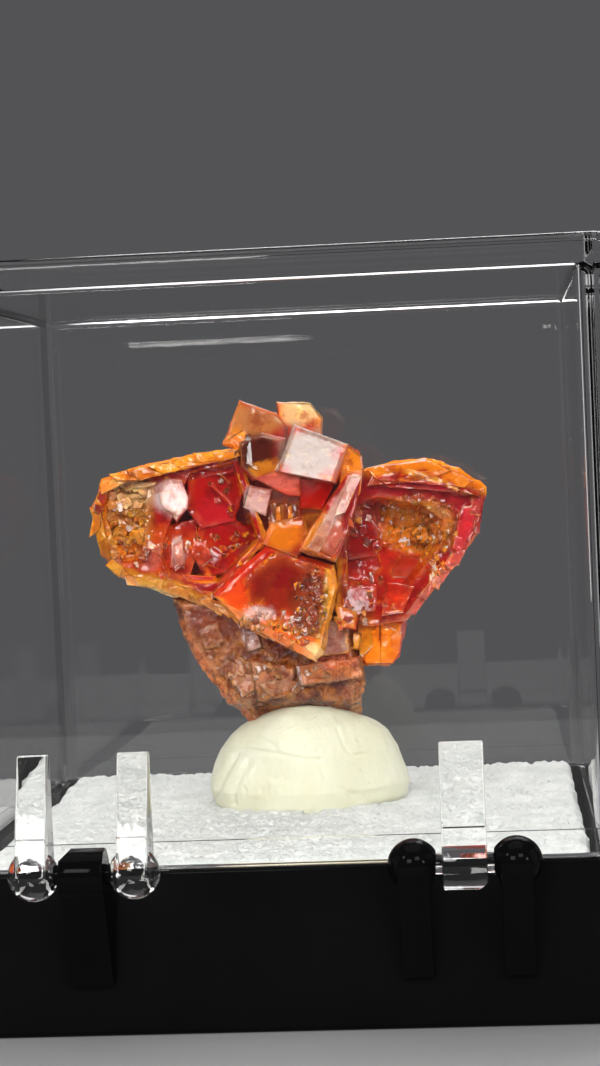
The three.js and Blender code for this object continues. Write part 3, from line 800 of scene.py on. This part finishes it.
def crystal_colours(local, depths, normals):
    """Thin places are orange, thick ones deep red, and facets differ a little: partly the crystal's own
    colour, which deepens with thickness, and partly painted glow of light shining through thin places.
    """
    stops = np.array([0.0, 0.5, 1.4, 2.8, 5.0])
    tones = np.array([AMBER, ORANGE, RED_ORANGE, RED, DEEP_RED])
    facet = wave_noise(normals * 1.7 + local * 0.12, 1.0, 4.0)
    depth = np.clip(depths * (1 + 0.7 * facet), 0, 5)
    channels = [np.interp(depth, stops, tones[:, channel]) for channel in range(3)]
    return np.column_stack(channels)


def zones_weight(zones, local, fray=0):
    return np.max([zone_weight(zone, local, fray) for zone in zones], axis=0)


def crystal_edge(middles):
    """The longest edge allowed: short where the surface is etched, longer behind."""
    etched_edge = 0.135
    front_edge = 0.29
    back_edge = 0.5
    etch = zones_weight(ETCHED_ZONES, middles) * (middles[:, 1] < 1.6)
    return np.where(etch > 0.2, etched_edge, np.where(middles[:, 1] < 1.5, front_edge, back_edge))


def mesh_arrays(work):
    work.normal_update()
    points = np.array([v.co[:] for v in work.verts])
    normals = np.array([v.normal[:] for v in work.verts])
    return points, normals


def corner_colours(mesh, point_colours, facet_colours, facet_areas):
    """Small facets take their own colour, large ones those of their points; all differ a little."""
    points = np.zeros(len(mesh.loops), dtype=np.int32)
    mesh.loops.foreach_get("vertex_index", points)
    facets = np.zeros(len(mesh.polygons), dtype=np.int32)
    mesh.attributes["facet"].data.foreach_get("value", facets)
    facets = np.repeat(facets, 3) - 1
    random = np.random.default_rng(12)
    own = (0.8 * (1 - smoothstep(facet_areas, 1.2, 3.5)))[facets][:, None]
    colours = point_colours[points] * (1 - own) + facet_colours[facets] * own
    light = random.uniform(0.72, 1.2, (len(facet_areas), 1))
    warmth = random.uniform(0.85, 1.15, (len(facet_areas), 1)) ** np.array([[0.0, 1.0, 1.4]])
    return colours * (light * warmth)[facets]


def varied_with_glints(colours, areas, middles):
    """Small facets outside the clean zones differ more: some are pale as painted glints, some orange, some
    dark.
    """
    pick = np.random.default_rng(21).random((len(areas), 1))
    clean = zones_weight(CLEAN_ZONES, middles)
    small = (areas < 0.16) & (clean < 0.5)
    choice = np.where(pick > 0.7, colours * 0.35, colours)
    choice = np.where(pick < 0.24, ORANGE, choice)
    # Pale pink small facets are painted glints
    choice = np.where(pick < 0.14, PALE_PINK, choice)
    return np.where(small[:, None], choice, colours)


def soften(work, values, rounds):
    """Spreads values at points to their neighbours."""
    pairs = np.array([[e.verts[0].index, e.verts[1].index] for e in work.edges])
    for step in range(rounds):
        total = values.copy()
        count = np.ones(len(values))
        np.add.at(total, pairs[:, 0], values[pairs[:, 1]])
        np.add.at(total, pairs[:, 1], values[pairs[:, 0]])
        np.add.at(count, pairs[:, 0], 1)
        np.add.at(count, pairs[:, 1], 1)
        values = total / count
    return values


def warped(points, size, amount, seed):
    """Points pushed about by soft noise."""
    shifts = [wave_noise(points, size, seed + step) for step in range(3)]
    return points + amount * np.column_stack(shifts)


def specimen_mesh(work, name, moved, edges, colours, values):
    """The mesh with its points moved, and with colours and values stored for its material."""
    for vert, place in zip(work.verts, moved):
        vert.co = place
    # Sharp outer edges, which the materials paint paler as edge highlights
    values["outer_edge"] = soften(work, np.maximum(edges, 0), 1)
    mesh = mesh_of(work, name)
    for key, numbers in values.items():
        mesh.attributes.new(key, "FLOAT", "POINT").data.foreach_set("value", numbers.astype(np.float32))
    corners = corner_colours(mesh, *colours)
    opaque = np.column_stack([corners, np.ones(len(corners))]).astype(np.float32)
    mesh.color_attributes.new("tint", "FLOAT_COLOR", "CORNER").data.foreach_set("color", opaque.ravel())
    mesh.attributes.remove(mesh.attributes["facet"])
    return mesh


def add_left_faces(work):
    """Rim plates and the large faces in the hollow of the left crystal."""
    top = [(-9.5, 12.0), (-8.2, 12.55), (-6.4, 12.9), (-5.0, 13.3), (-2.9, 13.6)]
    bottom = [(-9.3, 8.0), (-8.4, 7.2), (-6.5, 6.85), (-5.2, 6.3), (-3.9, 5.75)]
    add_rim(work, 31, top, 10, 0.26, -2.8, (0, 0.3))
    add_rim(work, 32, bottom, 12, 0.24, -2.75, (0, -0.1))
    add_rim(work, 33, [(-9.9, 11.4), (-10.1, 10.2), (-9.8, 8.8)], 6, 0.24, -2.3, (-0.2, 0.0))
    for height in (12.05, 11.5, 11.0, 10.6):
        wide = 0.4 + 0.3 * (height - 10.0)
        middle = -8.2 + 0.2 * math.sin(height * 9)
        band = [(-1, 0), (1, 0.12), (0.8, -0.14), (-0.9, -0.2)]
        add_plate(work, [(middle + side * wide, height + up) for side, up in band], (-0.2, 0.2), 0.16)
    for block in [
        ([(-5.45, 12.9), (-3.0, 13.3), (-2.6, 11.6), (-3.1, 10.1), (-4.8, 9.7), (-5.5, 10.8)],
         -1.55, 0.5, (0.18, 0.05)),
        ([(-4.9, 9.9), (-3.1, 10.3), (-1.7, 9.3), (-3.0, 7.5), (-4.6, 7.2), (-5.3, 8.4)],
         -1.35, 0.5, (0.25, 0.03)),
        ([(-6.9, 9.8), (-5.0, 10.3), (-4.9, 8.6), (-5.4, 7.1), (-6.6, 7.2), (-7.2, 8.4)],
         -1.5, 0.5, (-0.05, 0.04)),
        ([(-5.2, 9.3), (-4.5, 9.2), (-4.2, 8.2), (-4.7, 7.8), (-5.3, 8.3)], -1.75, -0.5, (0.1, 0.2), 0.05),
        ([(-4.3, 8.9), (-3.7, 8.5), (-3.9, 7.7), (-4.5, 7.9)], -1.65, -0.5, (-0.1, 0.3), 0.05),
        ([(-6.15, 8.9), (-5.75, 9.1), (-5.65, 7.9), (-6.1, 7.5)], -1.85, -0.5, (-0.22, 0.17), 0.04),
        ([(-7.5, 8.5), (-7.0, 8.7), (-6.8, 8.0), (-7.3, 7.8)], -2.0, -0.5, (-0.2, 0.18), 0.04),
        ([(-4.3, 12.0), (-3.2, 10.9), (-3.1, 11.0), (-4.2, 12.1)], -1.78, -1.0, (0.3, 0.3), 0.02),
        ([(-3.9, 12.6), (-3.3, 12.0), (-3.22, 12.1), (-3.82, 12.7)], -1.7, -1.0, (0.3, 0.3), 0.02),
    ]:
        add_block(work, *block)
    bright = [(-6.95, 11.7), (-6.53, 12.35), (-5.75, 12.3), (-5.35, 11.3), (-5.4, 10.8)]
    bright += [(-5.9, 10.35), (-6.75, 10.9)]
    add_plate(work, bright, (-0.2, 0.18), 0.2)
    for patch in [
        (3, 7, (-4.0, 10.6), (1.3, 2.0), 0.2),
        (4, 14, (-6.3, 8.3), (1.4, 1.0), 0.24),
        (5, 16, (-3.1, 9.2), (1.2, 1.4), 0.18),
        (13, 40, (-8.4, 9.4), (1.1, 1.6), 0.15),
    ]:
        add_shards(work, *patch)


def add_slab_faces(work):
    """The slab's flat front, and the chipped plates along its lower edge."""
    front = [(-0.9, 8.7), (1.75, 7.75), (1.85, 6.2), (1.35, 4.2), (-0.7, 4.55), (-2.4, 6.0), (-2.6, 7.3)]
    add_block(work, front, -3.47, -2.0, (0.05, 0.06))
    add_rim(work, 34, [(-3.7, 5.85), (-2.4, 5.0), (-0.8, 4.2), (0.9, 3.45)], 9, 0.22, -3.45, (0, 0.1))
    for patch in [
        (8, 34, (-1.2, 5.2), (2.0, 0.6), 0.2),
        (10, 16, (0.3, 4.3), (1.0, 0.6), 0.2),
        (11, 36, (0.9, 6.2), (0.8, 1.7), 0.16),
    ]:
        add_shards(work, *patch)


def add_cube_faces(work):
    """The dark cube with its bright edges, the striped plates below it and the bent crystal beside them."""
    dark = [(-2.75, 14.15), (-1.6, 14.65), (-0.55, 14.3), (-0.65, 12.75), (-2.05, 12.3), (-2.65, 12.95)]
    add_block(work, dark, -2.98, -1.0, (0.12, 0.02))
    glint = (-0.18, 0.18)
    add_block(work, [(-2.5, 14.6), (-2.2, 14.7), (-2.1, 13.0), (-2.4, 12.9)], -3.1, -2.0, glint, 0.03)
    add_block(work, [(-2.4, 13.25), (-1.7, 12.95), (-1.75, 12.75), (-2.4, 13.0)], -3.1, -2.0, glint, 0.03)
    for step in range(7):
        x = -1.3 + 0.2 * step
        height = 11.0 + 0.1 * math.sin(step * 2.1)
        corners = [(x, height), (x + 0.19, height + 0.05), (x + 0.23, 10.1), (x + 0.04, 10.05)]
        add_block(work, corners, -2.25 - 0.07 * (step % 3), -1.0, (0.25 * (step % 2), 0.1), 0.03)
    add_block(work, [(2.9, 12.4), (3.45, 12.5), (2.6, 10.6), (2.0, 10.4)], -4.05, -2.5, (0.25, 0.1), 0.05)
    add_block(work, [(1.5, 10.6), (2.5, 10.4), (2.5, 9.3), (1.9, 8.4), (1.2, 8.8)], -4.0, -2.5, (0.3, 0.05))


def add_right_faces(work):
    """Rim plates, the smooth lower face in the hollow of the right crystal, and its lobe."""
    top = [(3.7, 12.9), (6.8, 13.3), (9.2, 12.2), (8.7, 11.9), (6.6, 12.65), (4.2, 12.3)]
    add_block(work, top, -2.7, -1.2, (0.05, 0.4))
    add_rim(work, 35, [(4.4, 12.25), (6.6, 12.5), (8.7, 11.8)], 6, 0.2, -2.75, (0, 0.2))
    side = [(9.4, 11.2), (9.1, 9.8), (8.5, 8.5), (7.1, 6.8), (6.0, 5.5)]
    add_rim(work, 36, side, 12, 0.24, -2.35, (0.1, 0.1))
    lower = [(2.3, 8.7), (5.4, 8.9), (8.0, 8.2), (6.5, 6.2), (5.6, 5.1), (3.7, 4.8), (2.2, 5.5)]
    for block in [
        (lower, -1.3, 2.0, (0.02, 0.5)),
        ([(2.4, 11.2), (3.6, 10.9), (4.6, 9.4), (4.3, 8.2), (2.4, 8.0)], -0.9, 2.0, (0.35, 0.03)),
        ([(3.45, 3.1), (3.75, 2.75), (4.5, 2.75), (4.4, 4.9), (3.95, 4.3)], -1.9, 0.0, (-0.35, 0.05)),
        ([(4.45, 2.75), (5.1, 2.75), (5.5, 3.3), (5.6, 4.4), (4.5, 4.9)], -1.9, 0.0, (0.35, 0.1)),
    ]:
        add_block(work, *block)
    for plate in [
        ([(2.5, 8.4), (4.3, 8.6), (4.7, 7.5), (3.4, 6.9), (2.5, 7.2)], (0.12, 0.4), 0.1),
        ([(4.6, 8.5), (7.3, 8.1), (6.7, 7.2), (5.0, 7.2)], (-0.12, 0.6), 0.1),
        ([(2.6, 6.8), (4.3, 7.0), (4.2, 5.6), (3.2, 5.3), (2.5, 5.7)], (0.05, 0.3)),
        ([(4.8, 7.0), (6.2, 6.8), (5.6, 5.5), (4.5, 5.3)], (-0.18, 0.45)),
        ([(3.9, 7.5), (4.1, 7.5), (4.15, 6.6), (3.95, 6.6)], (0.15, 0.25)),
    ]:
        add_plate(work, *plate)
    for patch in [
        (6, 12, (3.6, 9.7), (0.8, 1.6), 0.3),
        (7, 6, (4.2, 6.2), (1.6, 0.9), 0.2),
        (9, 16, (3.0, 5.0), (0.9, 0.8), 0.22),
        (12, 24, (7.3, 8.0), (0.9, 1.2), 0.18),
        (14, 60, (6.5, 10.1), (2.1, 1.4), 0.16),
    ]:
        add_shards(work, *patch)


def crystal_front(local, turned):
    """How far each point is on the front of the crystals, and how far it faces forward."""
    return 1 - smoothstep(local[:, 1], 1.2, 2.4), smoothstep(-turned[:, 1], -0.6, 0.2)


def painted_crystal(tree, points, normals, fray=0):
    """Colours from the thickness behind each point, partly painted glow of light through thin places, with
    the zones' colours on the front.
    """
    local = to_local(points)
    turned = normals @ TURN
    front, facing = crystal_front(local, turned)
    colours = crystal_colours(local, thickness(tree, points, normals), turned)
    return paint(local, CRYSTAL_ZONES, colours, front * (0.35 + 0.65 * facing), fray)


def make_crystals(material):
    work = welded("vanadinite")
    for add_faces in (add_left_faces, add_slab_faces, add_cube_faces, add_right_faces):
        add_faces(work)
    work.normal_update()
    middles, facet_normals, areas = mark_facets(work)
    tree = BVHTree.FromBMesh(work)
    drop_hidden(work, tree)
    refine(work, crystal_edge)
    work.normal_update()
    drop_hidden(work, tree)
    work.verts.ensure_lookup_table()
    points, normals = mesh_arrays(work)
    local = to_local(points)
    fray = wave_noise(local, 0.8, 5.0)
    edges = sharp_edges(work)
    front, facing = crystal_front(local, normals @ TURN)
    clean = zones_weight(CLEAN_ZONES, local) * front
    etch = zones_weight(ETCHED_ZONES, local, fray) * front * facing * (1 - 0.85 * clean)
    point_colours = painted_crystal(tree, points, normals, fray)
    facet_colours = varied_with_glints(painted_crystal(tree, middles, facet_normals), areas, to_local(middles))
    loose = warped(local, 0.6, 0.16, 30.0)
    crinkle = 1 - 2.2 * np.abs(wave_noise(loose, 0.5, 6.5))
    chipped = 0.08 * wave_noise(local, 0.35, 7.0) + 0.12 * wave_noise(local, 0.9, 7.5)
    relief = etch * (0.17 * (cell_bumps(loose, 0.4, 1.0) - 0.3) + 0.1 * (crinkle - 0.3))
    relief += 0.07 * etch * (cell_bumps(local, 0.19, 2.0) - 0.3)
    relief += 0.02 * (1 - clean) * wave_noise(local, 1.1, 6.0)
    relief += (1 - clean) * np.abs(edges) * chipped
    moved = points + normals * (relief * MM)[:, None]
    values = {"etch": etch, "glint": (1 - clean) * (0.1 + 0.08 * fray) + 0.75 * etch}
    colours = (point_colours, facet_colours, areas)
    mesh = specimen_mesh(work, "crystal_cluster", moved, edges, colours, values)
    shade(mesh, 24)
    return finished_piece(mesh, "crystal_cluster", ["vanadinite"], "case", material)


def matrix_front(local):
    return 1 - smoothstep(local[:, 1], 0.2, 1.6)


def matrix_colours(local, fray=0):
    """Brown and gold with pale patches; also says how far each point is pale."""
    patches = smoothstep(wave_noise(local, 1.1, 9.0), 0.2, 0.3)[:, None]
    gold = smoothstep(wave_noise(local, 0.6, 10.0), -0.4, 0.4)[:, None]
    colours = BROWN * (1 - gold) + GOLD * gold
    colours = colours * (1 - 0.7 * patches) + PALE_STONE * 0.7 * patches
    colours = paint(local, MATRIX_ZONES, colours, matrix_front(local), fray)
    return colours, np.clip(0.8 * patches[:, 0] + (colours.mean(axis=1) > 0.32), 0, 1)


def make_matrix(material):
    work = welded("matrix")
    for plate in [
        ([(-2.6, 4.9), (-2.0, 5.0), (-1.7, 3.7), (-2.3, 3.5)], (-0.2, 0.18)),
        ([(-2.9, 2.0), (-2.5, 2.3), (-2.1, 2.2), (-2.0, 1.5), (-2.6, 1.2)], (0.1, 0.27)),
        ([(-1.7, 1.8), (-0.7, 2.1), (0.2, 1.9), (-0.1, 1.5), (-1.2, 1.3)], (0.1, 0.27)),
        ([(-4.9, 4.6), (-3.9, 4.9), (-3.6, 4.0), (-4.5, 3.6)], (-0.15, 0.1)),
    ]:
        add_plate(work, *plate)
    add_shards(work, 43, 20, (-1.2, 2.6), (3.0, 1.6), 0.17)
    work.normal_update()
    middles, facet_normals, areas = mark_facets(work)
    refine(work, lambda places: np.where(places[:, 1] < 0, 0.13, 0.22))
    points, normals = mesh_arrays(work)
    local = to_local(points)
    edges = sharp_edges(work)
    point_colours, pale = matrix_colours(local, wave_noise(local, 0.7, 8.0))
    middles = to_local(middles)
    facet_colours = varied_with_glints(matrix_colours(middles)[0], areas, middles)
    rough = soften(work, 1 - pale, 2)
    relief = 0.2 * rough * (cell_bumps(local, 0.5, 3.0) - 0.25)
    relief += 0.1 * rough * (cell_bumps(local, 0.23, 4.0) - 0.25)
    relief += 0.06 * wave_noise(local, 0.9, 11.0) + 0.05 * np.abs(edges) * wave_noise(local, 0.4, 12.0)
    relief += 0.08
    moved = points + normals * (relief * MM)[:, None]
    # The foot draws back, so that it stays inside the putty
    moved[:, 1] += 1.6 * MM * matrix_front(local) * (1 - smoothstep(local[:, 2], 0.0, 1.1))
    colours = (point_colours, facet_colours, areas)
    mesh = specimen_mesh(work, "matrix_stub", moved, edges, colours, {"etch": rough})
    shade(mesh, 30)
    return finished_piece(mesh, "matrix_stub", ["matrix"], "case", material)


# Materials
PLASTIC_IOR = 1.42


class Look:
    """A material, with short ways to add nodes to it."""

    def __init__(self, name):
        self.material = bpy.data.materials.new(name)
        self.material.use_nodes = True
        self.nodes = self.material.node_tree.nodes
        self.place = self.node("TexCoord").outputs["Object"]

    def fill(self, node, inputs):
        """Sets a node's inputs to values or links them to sockets."""
        for key, value in inputs.items():
            if isinstance(value, bpy.types.NodeSocket):
                self.material.node_tree.links.new(value, node.inputs[key])
            else:
                node.inputs[key].default_value = value

    def node(self, kind, inputs=None, **settings):
        node = self.nodes.new("ShaderNode" + kind)
        for key, value in settings.items():
            setattr(node, key, value)
        self.fill(node, inputs or {})
        return node

    def noise(self, scale, detail=4.0, roughness=0.55, stretch=None):
        place = self.place
        if stretch:
            place = self.node("Mapping", {"Vector": place, "Scale": stretch}).outputs["Vector"]
        inputs = {"Vector": place, "Scale": scale, "Detail": detail, "Roughness": roughness}
        return self.node("TexNoise", inputs).outputs["Fac"]

    def ranged(self, socket, low, high, to_low, to_high):
        inputs = {"Value": socket, "From Min": low, "From Max": high, "To Min": to_low, "To Max": to_high}
        return self.node("MapRange", inputs).outputs["Result"]

    def mixed(self, share, first, second, blend="MIX"):
        """Two colours, each a socket or three parts, mixed by a share."""
        inputs = {0: share}
        for key, colour in ((6, first), (7, second)):
            inputs[key] = colour if isinstance(colour, bpy.types.NodeSocket) else (*colour, 1.0)
        return self.node("Mix", inputs, data_type="RGBA", blend_type=blend).outputs[2]

    def multiplied(self, tint, colour):
        return self.mixed(1.0, tint, colour, "MULTIPLY")

    def maths(self, operation, first, second):
        return self.node("Math", {0: first, 1: second}, operation=operation).outputs[0]

    def vectors(self, operation, inputs):
        return self.node("VectorMath", inputs, operation=operation).outputs[0]

    def stored(self, name, output="Fac"):
        return self.node("Attribute", attribute_name=name).outputs[output]

    def bump(self, height, strength, distance, before=None):
        inputs = {"Height": height, "Strength": strength, "Distance": distance}
        if before is not None:
            inputs["Normal"] = before
        return self.node("Bump", inputs).outputs["Normal"]

    def glitter(self, place, scale, strength):
        """A normal tilted a little differently in every small cell, as on a crust of tiny crystals."""
        cells = self.node("TexVoronoi", {"Vector": place, "Scale": scale}).outputs["Color"]
        centred = self.vectors("SUBTRACT", {0: cells, 1: (0.5, 0.5, 0.5)})
        tilt = self.vectors("SCALE", {0: centred, "Scale": strength})
        normal = self.node("NewGeometry").outputs["Normal"]
        return self.vectors("NORMALIZE", {0: self.vectors("ADD", {0: normal, 1: tilt})})

    def surface(self, tint, gloss, normal, others):
        """Gives the shader its inputs and returns the material."""
        inputs = {"Base Color": tint, "Roughness": gloss, "Normal": normal}
        self.fill(self.nodes["Principled BSDF"], inputs | others)
        return self.material


def scattering(weight, radius, scale):
    return {"Subsurface Weight": weight, "Subsurface Radius": radius, "Subsurface Scale": scale}


def crystal_material():
    look = Look("vanadinite_crystal")
    tint = look.stored("tint", "Color")
    clouds = look.ranged(look.noise(900, 5.0, 0.6), 0.53, 0.62, 0.0, 0.8)
    tint = look.mixed(clouds, tint, look.multiplied(tint, (0.6, 0.36, 0.3)))
    veins = look.ranged(look.noise(1500, 3.0, 0.7, (1.0, 1.0, 2.2)), 0.57, 0.66, 0.0, 0.6)
    tint = look.mixed(veins, tint, look.multiplied(tint, (1.5, 1.5, 1.1)))
    # Outer edges paled towards cream in spots: painted edge highlight along chipped edges
    chipped_edge_highlight = look.ranged(look.noise(1300, 3.0), 0.45, 0.6, 0.05, 0.55)
    pale = look.mixed(0.25, look.multiplied(tint, (1.5, 1.9, 1.6)), CREAM)
    tint = look.mixed(look.maths("MULTIPLY", look.stored("outer_edge"), chipped_edge_highlight), tint, pale)
    smear = look.ranged(look.noise(1300, 3.0), 0.3, 0.7, 0.03, 0.11)
    gloss = look.maths("ADD", smear, look.maths("MULTIPLY", look.stored("etch"), 0.08))
    bands = {"Vector": look.place, "Scale": 420.0, "Distortion": 5.0, "Detail": 3.0, "Detail Scale": 2.0}
    growth = look.node("TexWave", bands, wave_type="BANDS", bands_direction="Z").outputs["Fac"]
    drift = look.node("TexNoise", {"Vector": look.place, "Scale": 2500.0}).outputs["Color"]
    loose = look.vectors("ADD", {0: look.place, 1: look.vectors("SCALE", {0: drift, "Scale": 0.0002})})
    sparkle = look.glitter(loose, 4200.0, look.stored("glint"))
    steps = look.bump(growth, 0.03, 0.00006, sparkle)
    grain = look.bump(look.noise(5200, 4.0, 0.6), 0.14, 0.00006, steps)
    return look.surface(tint, gloss, grain, {"IOR": 1.65} | scattering(0.25, (1.0, 0.22, 0.06), 0.0008))


def matrix_material():
    look = Look("brown_matrix")
    tint = look.stored("tint", "Color")
    etch = look.stored("etch")
    spots = look.ranged(look.noise(1500, 5.0, 0.65), 0.5, 0.68, 0.0, 0.75)
    tint = look.mixed(spots, tint, look.multiplied(tint, (0.5, 0.3, 0.2)))
    rust = look.ranged(look.noise(700, 4.0, 0.6), 0.56, 0.7, 0.0, 0.5)
    tint = look.mixed(rust, tint, AMBER * 0.8)
    winding = look.maths("SUBTRACT", look.noise(1300, 3.0, 0.6), 0.5)
    grooves = look.ranged(look.maths("ABSOLUTE", winding, 0.0), 0.01, 0.05, 0.7, 0.0)
    tint = look.mixed(grooves, tint, RUST * 0.7)
    # Outer edges paled towards cream: painted edge highlight
    pale = look.mixed(0.6, tint, CREAM)
    tint = look.mixed(look.maths("MULTIPLY", look.stored("outer_edge"), 0.35), tint, pale)
    gloss = look.ranged(look.noise(2200, 3.0), 0.3, 0.7, 0.03, 0.14)
    sparkle = look.glitter(look.place, 3600.0, look.ranged(etch, 0.0, 1.0, 0.2, 0.9))
    strength = look.ranged(etch, 0.0, 1.0, 0.2, 0.5)
    grain = look.bump(look.noise(4200, 5.0, 0.65), strength, 0.0001, sparkle)
    return look.surface(tint, gloss, grain, {"IOR": 1.75} | scattering(0.2, (1.0, 0.4, 0.2), 0.0008))


def putty_material():
    look = Look("cream_putty")
    clouds = look.ranged(look.noise(260), 0.35, 0.7, 0.0, 1.0)
    tint = look.mixed(clouds, linear(226, 226, 203), linear(214, 213, 182))
    specks = look.ranged(look.noise(2600, 2.0, 0.5), 0.7, 0.76, 0.0, 0.35)
    tint = look.mixed(specks, tint, linear(176, 168, 132))
    gloss = look.ranged(look.noise(900, 3.0), 0.3, 0.7, 0.38, 0.6)
    smears = look.bump(look.noise(2400, stretch=(1.0, 1.0, 0.25)), 0.5, 0.0001)
    grain = look.bump(look.noise(5200, 4.0, 0.6), 0.35, 0.00006, smears)
    return look.surface(tint, gloss, grain, scattering(0.15, (1.0, 0.9, 0.55), 0.0003))


def foam_material():
    look = Look("white_foam")
    clouds = look.noise(500)
    # Darker grey blotches: painted shade of the crinkles
    painted_shade_share = look.ranged(clouds, 0.35, 0.65, 0.0, 1.0)
    tint = look.mixed(painted_shade_share, linear(229, 232, 229), linear(210, 215, 212))
    gloss = look.ranged(clouds, 0.3, 0.7, 0.5, 0.75)
    cells = look.node("TexVoronoi", {"Vector": look.place, "Scale": 1700.0}).outputs["Distance"]
    grain = look.bump(look.noise(2600, 5.0, 0.65), 0.9, 0.0003, look.bump(cells, 0.5, 0.00015))
    return look.surface(tint, gloss, grain, scattering(0.15, (1.0, 1.0, 1.0), 0.0005))


def black_material():
    look = Look("black_plastic")
    tint = look.mixed(look.noise(180), (0.0025, 0.0025, 0.003), (0.006, 0.006, 0.0065))
    scuffs = look.ranged(look.noise(420, 5.0, 0.7), 0.55, 0.8, 0.07, 0.24)
    scratches = look.bump(look.noise(5200, 2.0, stretch=(0.06, 1.0, 1.0)), 0.06, 0.00002)
    return look.surface(tint, scuffs, scratches, {"IOR": PLASTIC_IOR, "Specular IOR Level": 0.06})


def clear_material():
    """Clear moulded plastic that lets the light of lamps through."""
    look = Look("clear_plastic")
    tint = (0.985, 0.985, 0.985, 1)
    scuffs = look.ranged(look.noise(350, 5.0, 0.7), 0.6, 0.85, 0.0, 0.12)
    scratches = look.bump(look.noise(4200, 2.0, stretch=(0.04, 1.0, 0.6)), 0.02, 0.00001)
    material = look.surface(tint, scuffs, scratches, {"IOR": PLASTIC_IOR, "Transmission Weight": 1.0})
    plastic = look.nodes["Principled BSDF"].outputs["BSDF"]
    through = look.node("BsdfTransparent", {"Color": (0.95, 0.95, 0.95, 1)}).outputs["BSDF"]
    shadow = look.node("LightPath").outputs["Is Shadow Ray"]
    mix = look.node("MixShader", {0: shadow, 1: plastic, 2: through}).outputs["Shader"]
    look.fill(look.nodes["Material Output"], {"Surface": mix})
    return material


def floor_material():
    look = Look("pale_floor")
    tint = look.mixed(look.noise(60, 3.0), (0.44, 0.44, 0.45), (0.48, 0.48, 0.49))
    look.fill(look.nodes["Principled BSDF"], {"Base Color": tint, "Roughness": 0.6})
    return look.material


# Stage, light and camera
def make_floor():
    """A pale table top that ends behind the box, below what the camera sees past it."""
    side = 0.11
    near = -0.13
    far = 0.056
    work = bmesh.new()
    corners = [(-side, near), (side, near), (side, far), (-side, far)]
    work.faces.new([work.verts.new((x, y, 0)) for x, y in corners])
    floor = in_scene("floor", mesh_of(work, "floor"))
    floor.data.materials.append(floor_material())


def softbox(name, place, width, height, radiance, colour=(1, 1, 1)):
    """A soft lamp panel of an even brightness, turned to the specimen; lengths in millimetres."""
    lamp = bpy.data.lights.new(name, "AREA")
    lamp.shape = "RECTANGLE"
    lamp.size = width * MM
    lamp.size_y = height * MM
    lamp.energy = radiance * math.pi * lamp.size * lamp.size_y
    lamp.color = colour
    panel = in_scene(name, lamp)
    panel.location = Vector(place) * MM
    aim = Vector((0, 4, 20)) - Vector(place)
    panel.rotation_euler = aim.to_track_quat("-Z", "Y").to_euler()
    panel.visible_camera = False


def make_lights():
    warm = (1.0, 0.98, 0.95)
    softbox("key_left", (-52, -200, 98), 70, 52, 11.0, warm)
    softbox("key_right", (74, -180, 134), 70, 56, 8.8, warm)
    softbox("back", (30, 170, 190), 170, 110, 3.6)
    softbox("top", (0, -20, 280), 240, 200, 0.9)
    softbox("left", (-230, -40, 70), 130, 160, 0.5)
    softbox("right", (230, -20, 80), 130, 160, 0.6)
    softbox("spark_left", (-150, -150, 160), 36, 36, 14.0)
    softbox("spark_right", (160, -150, 70), 34, 34, 14.0)
    world = bpy.data.worlds.new("studio")
    world.use_nodes = True
    background = world.node_tree.nodes["Background"]
    background.inputs["Color"].default_value = (0.087, 0.087, 0.091, 1)
    bpy.context.scene.world = world
    bpy.context.scene.view_settings.view_transform = "Standard"


def make_camera():
    """The photograph's camera: its axes, its place in metres and its focal length in pixels."""
    focal_length = 2380.76
    picture_height = 1066
    right = (0.9959999, 0.07804057, -0.04351852)
    up = (0.04060507, 0.03853922, 0.99843175)
    back = (0.07959535, -0.996205, 0.03521622)
    place = (0.0100768, -0.120570, 0.0259254)
    data = bpy.data.cameras.new("camera")
    data.sensor_width = 36.0
    data.lens = focal_length / picture_height * data.sensor_width
    data.clip_start = 0.001
    camera = in_scene("camera", data)
    rows = [[right[i], up[i], back[i], place[i]] for i in range(3)]
    camera.matrix_world = Matrix(rows + [[0, 0, 0, 1]])
    bpy.context.scene.camera = camera


make_camera()
make_base(black_material())
make_lid(clear_material())
make_foam(foam_material())
make_putty(putty_material())
make_crystals(crystal_material())
make_matrix(matrix_material())
make_floor()
make_lights()
